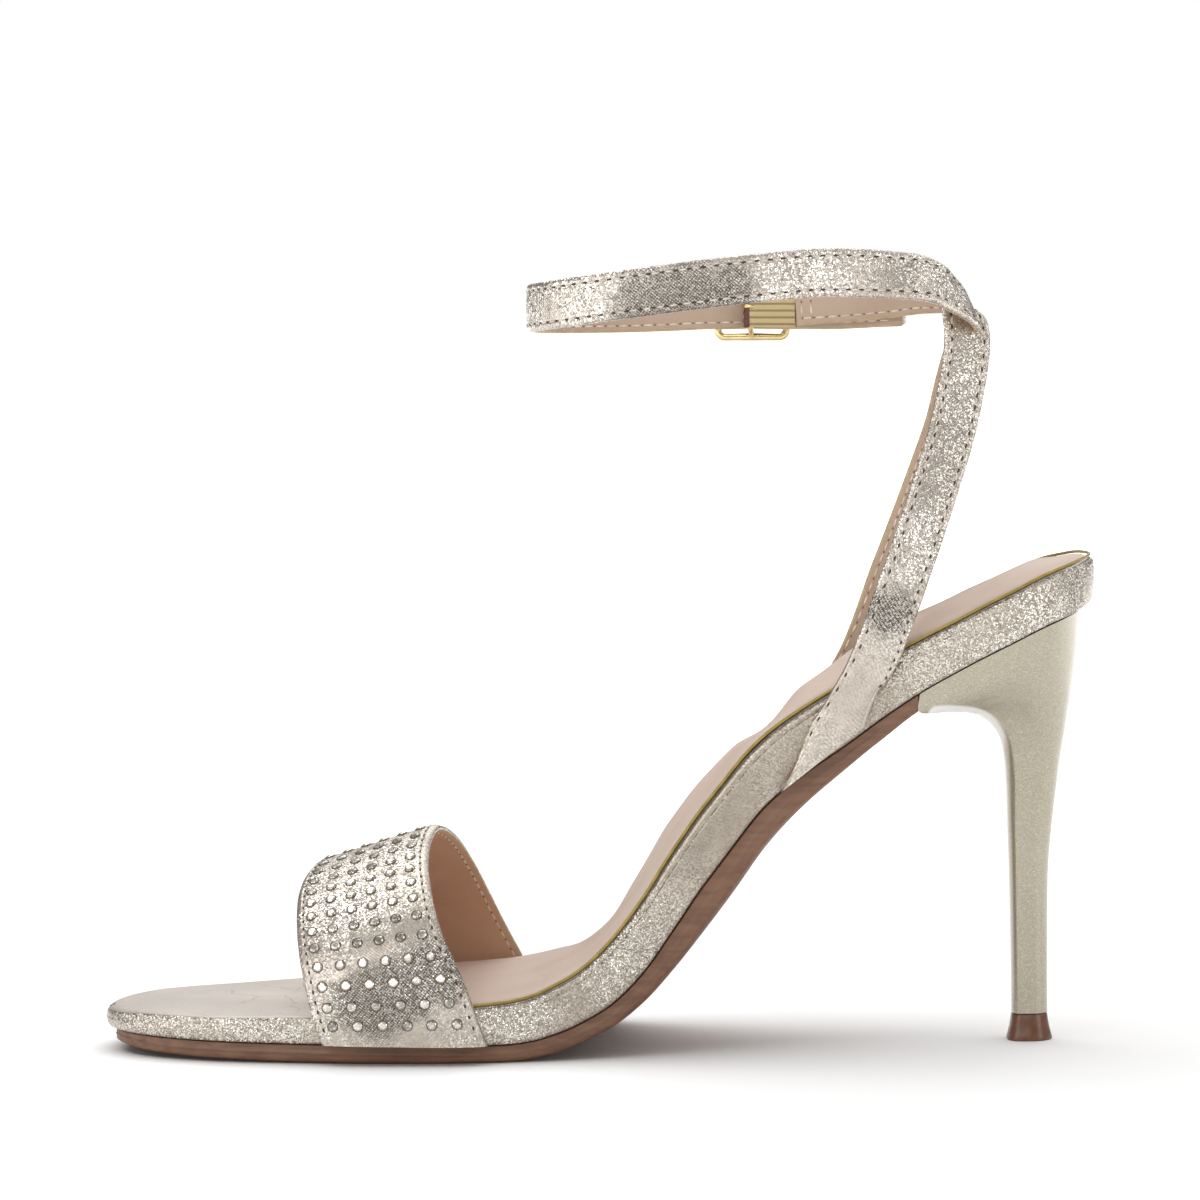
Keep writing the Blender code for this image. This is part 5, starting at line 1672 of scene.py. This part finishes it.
class AnklePlan:
    """The plan curve round the ankle and the strap's places on it."""

    def __init__(self, last: Last) -> None:
        """Keep the lines of the last."""
        self.last = last

    def plan(self, turn: float) -> Vector:
        """Return the plan curve's point at a turn in degrees, 0 at the back."""
        angle = math.radians(turn)
        x = LOOP_BACK * LENGTH - LOOP_LENGTH * (1 - math.cos(angle)) / 2
        return Vector((x, LOOP_HALF * math.sin(angle) * (1 - LOOP_EGG * math.cos(angle))))

    def out(self, turn: float) -> Vector:
        """Return the outward direction of the plan curve."""
        along = self.plan(turn + 1.0) - self.plan(turn - 1.0)
        return Vector((along.y, -along.x, 0.0)).normalized()

    def foot(self, side: Side) -> float:
        """Return the height of the seam where a quarter strap starts."""
        x = STRAP_BASE * LENGTH
        return self.last.feather(x) - self.last.drop(x) * (0.0 if side is Side.INNER else 1.0)

    def height(self, side: Side, up: float) -> float:
        """Return a strap's height from its share of the strap's rise."""
        blend = clamp(up * 3)
        return self.foot(side) * (1 - blend) + self.foot(Side.INNER) * blend + up * STRAP_RISE

    def turn_at(self, reach: float) -> float:
        """Return the turn on the outer side at a distance heelward of the buckle's middle."""
        x = self.plan(BUCKLE_TURN).x + reach
        share = 1 - 2 * (LOOP_BACK * LENGTH - x) / LOOP_LENGTH
        return math.degrees(math.acos(min(1.0, max(-1.0, share))))

    def strap_places(self, rows: Sequence[StrapRow], side: Side) -> list[list[float]]:
        """Place the rows between the sole and the ankle.

        Args:
            rows: the strap's rows.
            side: the side where the strap starts.

        Returns:
            Point, outward direction, width and skew for each row.
        """
        places = []
        for row in rows:
            sway = 0.0008 if side is Side.INNER else 0.0018
            reach = row.out * (self.last.half(row.along * LENGTH, side) + WALL_CLEARANCE + STRAP_THICK / 2)
            x = row.along * LENGTH + sway * math.sin(math.pi * min(1.0, row.up))
            face, lean = math.radians(row.face), math.radians(row.lean)
            level = Vector((math.sin(face), side.value * math.cos(face), 0.0))
            outward = level * math.cos(lean) + UP * math.sin(lean)
            point = world(x, side.value * reach, self.height(side, row.up))
            places.append([*point, *outward, row.width * STRAP_WIDTH, -side.value * math.radians(row.skew)])
        return places

    def loop_places(self, rows: Sequence[LoopRow], side: Side) -> list[list[float]]:
        """Place the rows round the ankle.

        Args:
            rows: the strap's rows.
            side: the side where the strap starts.

        Returns:
            Point, outward direction, width and skew for each row.
        """
        places = []
        for row in rows:
            turn = -side.value * row.turn
            spot, outward = self.plan(turn), self.out(turn)
            point = world(spot.x, spot.y, self.height(Side.INNER, row.up))
            point += outward * (row.over * STRAP_THICK)
            places.append([*point, *outward, STRAP_WIDTH, 0.0])
        return places

    def buckled_rows(self) -> list[LoopRow]:
        """Return the long strap's rows from the front of the buckle to the end of its tail."""
        stops = (
            (-BAR_REACH - 0.0025, FRONT_OUT * 0.7),
            (-BAR_REACH, FRONT_OUT),
            (-BAR_REACH * 0.5, (FRONT_OUT + CENTRE_OUT) / 2),
            (0.0, CENTRE_OUT),
            (BAR_REACH * 0.5, (TAIL_OUT + CENTRE_OUT) / 2),
            (BAR_REACH, TAIL_OUT),
            (BAR_REACH + 0.003, TAIL_OUT),
        )
        rows = [LoopRow(360 - self.turn_at(reach), BUCKLE_UP, out / STRAP_THICK) for reach, out in stops]
        last = self.turn_at(BAR_REACH + 0.003)
        for share, up in ((0.35, 0.920), (0.7, 0.924), (1.0, 0.927)):
            rows.append(LoopRow(360 - last + share * (TAIL_TURN - 360 + last), up, TAIL_OUT / STRAP_THICK))
        return rows

    def axes(self) -> tuple[Vector, Vector, Vector]:
        """Return the buckle's centre on the ankle's surface, its heelward and its outward direction."""
        spot, outward = self.plan(BUCKLE_TURN), self.out(BUCKLE_TURN)
        heelward = UP.cross(outward).normalized()
        if heelward.x < 0:
            heelward.negate()
        return world(spot.x, spot.y, self.height(Side.INNER, BUCKLE_UP)), heelward, outward

    def by_buckle(self, reach: float, out: float, rise: float) -> Vector:
        """Find a point by the buckle.

        Args:
            reach: distance heelward of the buckle's middle, along the ankle.
            out: distance outward of the ankle's surface.
            rise: height above the buckle's middle.

        Returns:
            The point in the row frame.
        """
        turn = self.turn_at(reach)
        spot = self.plan(turn)
        return world(spot.x, spot.y, self.height(Side.INNER, BUCKLE_UP) + rise) + self.out(turn) * out


class Band:
    """A flat strap through its places, read at any distance."""

    def __init__(self, places: Sequence[Sequence[float]], step: float = 0.0008) -> None:
        """Walk the strap once and keep its frames.

        Args:
            places: point, outward, width and skew per row.
            step: distance between the frames.
        """
        values = np.array(places)
        gaps = np.linalg.norm(np.diff(values[:, :3], axis=0), axis=1)
        knots = np.concatenate([[0.0], np.cumsum(gaps)])
        self.length = float(knots[-1])
        self.marks = even(0.0, self.length, int(self.length / step))
        read = [flowing(knots, values, mark) for mark in self.marks]
        count = len(read)
        self.frames = []
        for i, row in enumerate(read):
            low, high = max(i - 2, 0), min(i + 2, count - 1)
            tangent = Vector(read[high][:3] - read[low][:3]).normalized()
            across = Vector(row[3:6]).normalized().cross(tangent).normalized()
            outward = tangent.cross(across).normalized()
            turned = Matrix.Rotation(row[7], 3, outward) @ across
            self.frames.append((Vector(row[:3]), turned, outward, float(row[6]) / 2))

    def frame(self, distance: float) -> tuple[Vector, Vector, Vector, float]:
        """Read the strap.

        Args:
            distance: metres from the strap's start.

        Returns:
            The strap's centre, its direction across, its outward direction and its half width.
        """
        i = min(len(self.frames) - 1, max(0, round(distance / self.length * (len(self.frames) - 1))))
        low, high = max(0, i - 1), min(len(self.frames) - 1, i + 1)
        spacing = self.length / (len(self.frames) - 1)
        shift = distance - i * spacing
        tangent = (self.frames[high][0] - self.frames[low][0]) / ((high - low) * spacing)
        point, across, outward, half = self.frames[i]
        return point + tangent * shift, across, outward, half


@dataclass
class AnkleStraps:
    """The two crossed straps, each with its lining, folded edges and stitch rows."""

    last: Last
    wear: Wardrobe
    stitch_pitch: float = 0.0029
    stitch_inset: float = 0.0015
    hole_pitch: float = 0.0075

    def __post_init__(self) -> None:
        """Lay out both straps."""
        self.plan = AnklePlan(self.last)
        straps, loops = self.plan.strap_places, self.plan.loop_places
        inner, outer = Side.INNER, Side.OUTER
        self.short = Band(straps(QUARTER_ROWS + UNDER_ROWS, inner) + loops(SHORT_LOOP_ROWS, inner))
        rows = LONG_LOOP_ROWS + tuple(self.plan.buckled_rows())
        self.long = Band(straps(QUARTER_ROWS + OVER_ROWS, outer) + loops(rows, outer))

    def profile(self, half: float) -> list[tuple[float, float]]:
        """Draw the strap's section.

        Args:
            half: half the strap's width.

        Returns:
            Its points as distances across and outward, the outer face first.
        """
        thick = STRAP_THICK
        insets = (0.0003, 0.0008, 0.0012, 0.0015, 0.0018, 0.0022, 0.0030)
        outer = []
        for near in insets:
            lift = thick / 2 * (1 - 0.34 * dip(near, 0.0, 0.0005))
            lift -= 0.00013 * dip(near, self.stitch_inset, 0.0003)
            outer.append((half - near, lift))
        across = even(half - 0.0039, -half + 0.0039, 7)
        crown = [(a, thick / 2 + 0.00008 * (1 - (a / half) ** 4)) for a in across]
        outer += crown + [(-a, b) for a, b in reversed(outer)]
        edge = [(half + 0.00004, thick * 0.22), (half + 0.0001, 0.0), (half, -thick * 0.28)]
        lining = [half - 0.0004] + even(half - 0.001, -half + 0.001, 7) + [-half + 0.0004]
        section = outer + [(-a, b) for a, b in edge] + [(-a, -thick / 2) for a in lining]
        return section + edge[::-1]

    def skin(self, name: str, band: Band, rounded: float) -> Piece:
        """Build one strap.

        Args:
            name: name of the piece.
            band: the strap's frames.
            rounded: length over which the far end narrows, 0 for a square end.

        Returns:
            The piece.
        """
        rings = []
        for mark, (point, across, outward, half) in zip(band.marks, band.frames):
            left = band.length - mark
            if rounded and left < rounded:
                half -= 0.0005 * (1 - left / rounded) ** 2
            rings.append([point + across * a + outward * b for a, b in self.profile(half)])
        slots = [0] * 20 + [0, 0, 0, 2] + [1] * 8 + [2] + [0, 0, 0]
        slots = (slots + [0] * len(rings[0]))[: len(rings[0])]
        return lofted(name, rings, [self.wear.strap, self.wear.lining, self.wear.edge], slots)

    def sew(self, band: Band, first: float, last: float, outside: Stitching, lining: Stitching) -> None:
        """Sew both edges of a strap, outside and in the lining.

        Args:
            band: the strap.
            first: distance where the rows start.
            last: distance where they end.
            outside: the stitches that show outside.
            lining: the stitches that show in the lining.
        """
        for sign in (-1, 1):
            for inside, sewing in ((False, outside), (True, lining)):

                def spot(distance: float, sign: int = sign, inside: bool = inside) -> tuple[Vector, Vector]:
                    """Return the surface point and normal on a stitch row."""
                    point, across, outward, half = band.frame(distance)
                    face = -1 if inside else 1
                    lift = (STRAP_THICK / 2 - (0.0 if inside else 0.00006)) * face
                    point = point + across * (sign * (half - self.stitch_inset))
                    return point + outward * lift, outward * face

                sewing.run(spot, first, last)

    def build(self) -> None:
        """Build both straps and their stitches."""
        settle(self.skin("short_strap", self.short, 0.0), "metallic_wrap", "ankle_straps")
        settle(self.skin("long_strap", self.long, 0.0010), "metallic_wrap", "ankle_straps")
        outside = Stitching(self.stitch_pitch)
        lining = Stitching(self.stitch_pitch, length_share=0.8, radius=0.00024)
        self.sew(self.short, 0.012, self.short.length - 0.0012, outside, lining)
        self.sew(self.long, 0.012, self.long.length - 0.003, outside, lining)
        for back in (0.0014, 0.0036):
            for inside, sewing in ((False, outside), (True, lining)):

                def spot(distance: float, back: float = back, inside: bool = inside) -> tuple[Vector, Vector]:
                    """Return a point on the rows that hold the elastic."""
                    point, across, outward, _ = self.short.frame(self.short.length - back)
                    face = -1 if inside else 1
                    return point + across * distance + outward * (STRAP_THICK / 2 * face), outward * face

                sewing.run(spot, -0.0037, 0.0037)
        outside.sew("strap", self.wear.thread, self.wear.hole_shade, "metallic_wrap")
        lining.sew("strap_lining", self.wear.lining_thread, self.wear.lining_hole_shade, "lining")
        self.punch()

    def punch(self) -> None:
        """Place dark discs of painted shade where the prong goes through, along the long strap's middle."""
        middle = self.long.length - 0.0235
        places = []
        for n in range(-3, 3):
            point, across, outward, _ = self.long.frame(middle + n * self.hole_pitch)
            top = point + outward * (STRAP_THICK / 2 + 0.00006)
            places.append(placed(top, outward.cross(across), outward))
        only()
        # a flat dark disc of painted shade in each punched opening
        bpy.ops.mesh.primitive_cylinder_add(vertices=16, radius=0.00075, depth=0.00006)
        settle(scattered("punched_hole_shades", bpy.context.object, places, self.wear.hole_shade), "metallic_wrap")


@dataclass
class BuckleUnit:
    """The gold frame with its centre bar, the prong and the ribbed elastic."""

    plan: AnklePlan
    wear: Wardrobe

    def frame(self) -> None:
        """Build the frame and its bent centre bar."""
        centre, heelward, outward = self.plan.axes()
        tilt = (BACK_BAR_OUT - FRONT_BAR_OUT) / (2 * BAR_REACH)
        middle = (BACK_BAR_OUT + FRONT_BAR_OUT) / 2
        tall = (BUCKLE_HEIGHT - BUCKLE_BAR) / 2
        corner = BUCKLE_CORNER
        path = []
        for a, b, start in ((1, 1, 0), (-1, 1, 90), (-1, -1, 180), (1, -1, 270)):
            for angle in even(start, start + 90, 9):
                turn = math.radians(angle)
                reach = (BAR_REACH - corner) * a + corner * math.cos(turn)
                path.append(Vector((reach, (tall - corner) * b + corner * math.sin(turn))))
        rings = []
        for i, spot in enumerate(path):
            tangent = (path[(i + 1) % len(path)] - path[i - 1]).normalized()
            side = Vector((tangent.y, -tangent.x))
            ring = []
            for angle in even(0.0, math.tau, 15)[:-1]:
                wide = abs(math.cos(angle)) ** 0.75 * math.copysign(1, math.cos(angle))
                high = abs(math.sin(angle)) ** 0.75 * math.copysign(1, math.sin(angle))
                flat = spot + side * (BUCKLE_BAR / 2 * wide)
                out = middle + tilt * spot.x + BUCKLE_THICK / 2 * high
                ring.append(centre + heelward * flat.x + UP * flat.y + outward * out)
            rings.append(ring)
        settle(lofted("gold_frame", rings, [self.wear.gold], looped=True), "gold", "buckle_frame")
        bend = ELASTIC_WIDTH / 2 + GAP
        stops = [(-tall, middle), (-bend - 0.0004, CENTRE_BAR_OUT + 0.0004), (-bend + 0.0006, CENTRE_BAR_OUT)]
        stops += [(-rise, out) for rise, out in reversed(stops)]
        points = [centre + UP * rise + outward * out for rise, out in stops]
        sides = [heelward] * len(points)
        settle(tube("gold_centre_bar", points, sides, BUCKLE_THICK / 2, self.wear.gold, 12), "gold")

    def prong(self) -> None:
        """Build the prong, curled round the centre bar with its tip on the front bar."""
        centre, heelward, outward = self.plan.axes()
        curl = BUCKLE_THICK / 2 + GAP + PRONG_RADIUS
        tip_out = FRONT_BAR_OUT + BUCKLE_THICK / 2 + GAP + PRONG_RADIUS
        stops = []
        for angle in even(200, 450, 22):
            turn = math.radians(angle)
            stops.append((curl * math.cos(turn), CENTRE_BAR_OUT + curl * math.sin(turn)))
        top = stops[-1][1]
        # share of the way to the front bar, and of the rise on to it
        shaft = (
            (0.13, 0.2), (0.26, 0.42), (0.4, 0.66), (0.52, 0.86), (0.68, 0.96),
            (0.85, 1.0), (1.0, 1.0), (1.1, 0.98), (1.19, 0.86),
        )
        for share, lift in shaft:
            stops.append((-BAR_REACH * share, top + (tip_out - top) * lift))
        points = [centre + heelward * reach + outward * out for reach, out in stops]
        wire = tube("gold_prong", points, [UP] * len(points), PRONG_RADIUS, self.wear.gold, 12)
        settle(wire, "gold", "buckle_prong")

    def elastic(self) -> None:
        """Build the ribbed elastic, folded round the centre bar."""
        plan = self.plan
        end = plan.plan(SHORT_LOOP_ROWS[-1].turn).x - plan.plan(BUCKLE_TURN).x - GAP
        fold = BUCKLE_THICK / 2 + GAP + ELASTIC_PLY / 2
        inner, outer = CENTRE_BAR_OUT - fold, CENTRE_BAR_OUT + fold
        path = [Vector((end * share, inner * (1 - share))) for share in even(1.0, 0.15, 9)]
        for angle in even(270, 90, 15):
            turn = math.radians(angle)
            path.append(Vector((fold * math.cos(turn), CENTRE_BAR_OUT + fold * math.sin(turn))))
        path += [Vector((ELASTIC_RETURN * 0.4, outer * 0.92)), Vector((ELASTIC_RETURN, outer * 0.6))]
        rings = []
        for rise in even(-ELASTIC_WIDTH / 2, ELASTIC_WIDTH / 2, 73):
            wave = math.cos(rise / ELASTIC_WIDTH * ELASTIC_RIBS * math.tau)
            thinner = 0.7 if abs(rise) > ELASTIC_WIDTH / 2 - 0.0001 else 1.0
            ply = ELASTIC_PLY * (0.68 + 0.32 * wave) * thinner
            near, far = [], []
            for k, spot in enumerate(path):
                along = (path[min(k + 1, len(path) - 1)] - path[max(k - 1, 0)]).normalized()
                side = Vector((along.y, -along.x)) * (ply / 2)
                near.append(plan.by_buckle(spot.x + side.x, spot.y + side.y, rise))
                far.append(plan.by_buckle(spot.x - side.x, spot.y - side.y, rise))
            rings.append(near + far[::-1])
        turn_back = [1 if 10 <= k < 17 else 0 for k in range(len(path))]
        slots = turn_back + turn_back[::-1]
        webbing = lofted("ribbed_elastic", rings, [self.wear.webbing, self.wear.fold], slots)
        settle(webbing, "webbing", "buckle_elastic")

    def build(self) -> None:
        """Build the buckle's pieces."""
        self.frame()
        self.prong()
        self.elastic()


@dataclass
class Studio:
    """Plain pale floor, soft lights and the camera at the photo's angle."""

    aim: Vector = field(default_factory=lambda: Vector((0.0003, 0.0, 0.0988)))
    distance: float = 1.4
    elevation: float = 4.5
    roll: float = -0.35
    span: float = 0.26667
    floor_glow: float = 0.02
    sensor: float = 36.0

    def camera(self) -> None:
        """Place the camera."""
        data = bpy.data.cameras.new("camera")
        camera = bpy.data.objects.new("camera", data)
        bpy.context.scene.collection.objects.link(camera)
        tip = math.radians(self.elevation)
        forward = Vector((0.0, math.cos(tip), -math.sin(tip)))
        turn = forward.to_track_quat("-Z", "Y").to_matrix().to_4x4()
        spot = Matrix.Translation(self.aim - forward * self.distance)
        camera.matrix_world = spot @ turn @ Matrix.Rotation(math.radians(self.roll), 4, "Z")
        data.sensor_width = self.sensor
        data.lens = self.sensor * self.distance / self.span
        data.clip_end = 20.0
        bpy.context.scene.camera = camera

    def floor(self) -> None:
        """Lay the pale floor."""
        only()
        bpy.ops.mesh.primitive_plane_add(size=9.0)
        floor = bpy.context.object
        floor.name = "floor"
        sheet = NodeSheet("pale_floor")
        away = sheet.vector("LENGTH", {0: sheet.place}, "Value")
        glow = sheet.spread(away, 0.2, 0.9, self.floor_glow, 1.2)
        sheet.finish(
            Base_Color=(0.95, 0.95, 0.95, 1.0), Roughness=0.9, Specular_IOR_Level=0.1,
            Emission_Color=(1.0, 1.0, 1.0, 1.0), Emission_Strength=glow,
        )
        floor.data.materials.append(sheet.material)

    def light(self, name: str, spot: tuple, size: tuple, energy: float, on_floor: bool = False) -> None:
        """Add one softbox aimed at the shoe, which lights either the shoe or the floor round it.

        Args:
            name: name of the lamp.
            spot: its place.
            size: its width and height.
            energy: its power in watts.
            on_floor: True for the softbox that lights only the floor and gives it the shoe's shadow.
        """
        lamp = bpy.data.lights.new(name, "AREA")
        lamp.shape = "RECTANGLE"
        lamp.size, lamp.size_y = size
        lamp.energy = energy
        thing = bpy.data.objects.new(name, lamp)
        bpy.context.scene.collection.objects.link(thing)
        thing.location = spot
        thing.rotation_euler = (self.aim - Vector(spot)).to_track_quat("-Z", "Y").to_euler()
        reached = bpy.data.collections.new(f"{name}_reach")
        reached.objects.link(bpy.data.objects["floor"])
        thing.light_linking.receiver_collection = reached
        reached.collection_objects[0].light_linking.link_state = "INCLUDE" if on_floor else "EXCLUDE"

    def surround(self) -> None:
        """Set a white backdrop that is dimmer low down, so that metal has something to show."""
        scene = bpy.context.scene
        world_data = bpy.data.worlds.new("studio")
        scene.world = world_data
        world_data.use_nodes = True
        tree = world_data.node_tree
        back = tree.nodes["Background"]
        place = tree.nodes.new("ShaderNodeTexCoord")
        split = tree.nodes.new("ShaderNodeSeparateXYZ")
        ramp = tree.nodes.new("ShaderNodeValToRGB")
        tree.links.new(place.outputs["Generated"], split.inputs[0])
        tree.links.new(split.outputs[2], ramp.inputs[0])
        ramp.color_ramp.elements[0].color = (0.05, 0.05, 0.05, 1.0)
        ramp.color_ramp.elements[1].color = (0.46, 0.46, 0.46, 1.0)
        ramp.color_ramp.elements[1].position = 0.8
        path = tree.nodes.new("ShaderNodeLightPath")
        mix = tree.nodes.new("ShaderNodeMix")
        mix.data_type = "RGBA"
        tree.links.new(path.outputs["Is Camera Ray"], mix.inputs[0])
        tree.links.new(ramp.outputs[0], mix.inputs[6])
        mix.inputs[7].default_value = (1.0, 1.0, 1.0, 1.0)
        tree.links.new(mix.outputs[2], back.inputs["Color"])
        back.inputs["Strength"].default_value = 1.0
        scene.view_settings.view_transform = "Standard"
        scene.view_settings.look = "None"

    def build(self) -> None:
        """Set the studio up."""
        self.camera()
        self.floor()
        self.surround()
        self.light("floor_softbox", (-0.1, 0.3, 1.35), (2.4, 2.0), 29.5, on_floor=True)
        self.light("front_softbox", (-0.7, -1.7, 1.0), (1.8, 1.3), 18.0)
        self.light("toe_softbox", (-1.4, -0.5, 0.45), (0.8, 0.9), 5.0)
        self.light("top_softbox", (-0.1, 0.5, 1.3), (1.1, 0.9), 9.0)
        self.light("heel_softbox", (1.2, -0.7, 0.5), (0.4, 1.0), 3.8)
        self.light("right_softbox", (1.1, 0.4, 0.8), (0.6, 0.6), 3.0)
        self.light("back_softbox", (0.2, 1.5, 0.8), (1.2, 0.8), 4.5)


def main() -> None:
    """Build the shoe on its frame and set it in the studio."""
    logging.basicConfig(level=logging.INFO, format="%(name)s %(message)s")
    last = Last()
    wear = Wardrobe()
    SoleUnit(last, wear).build()
    HeelUnit(last, wear).build()
    VampStrap(last, wear).build()
    straps = AnkleStraps(last, wear)
    straps.build()
    BuckleUnit(straps.plan, wear).build()
    Studio().build()


if __name__ == "__main__":
    main()
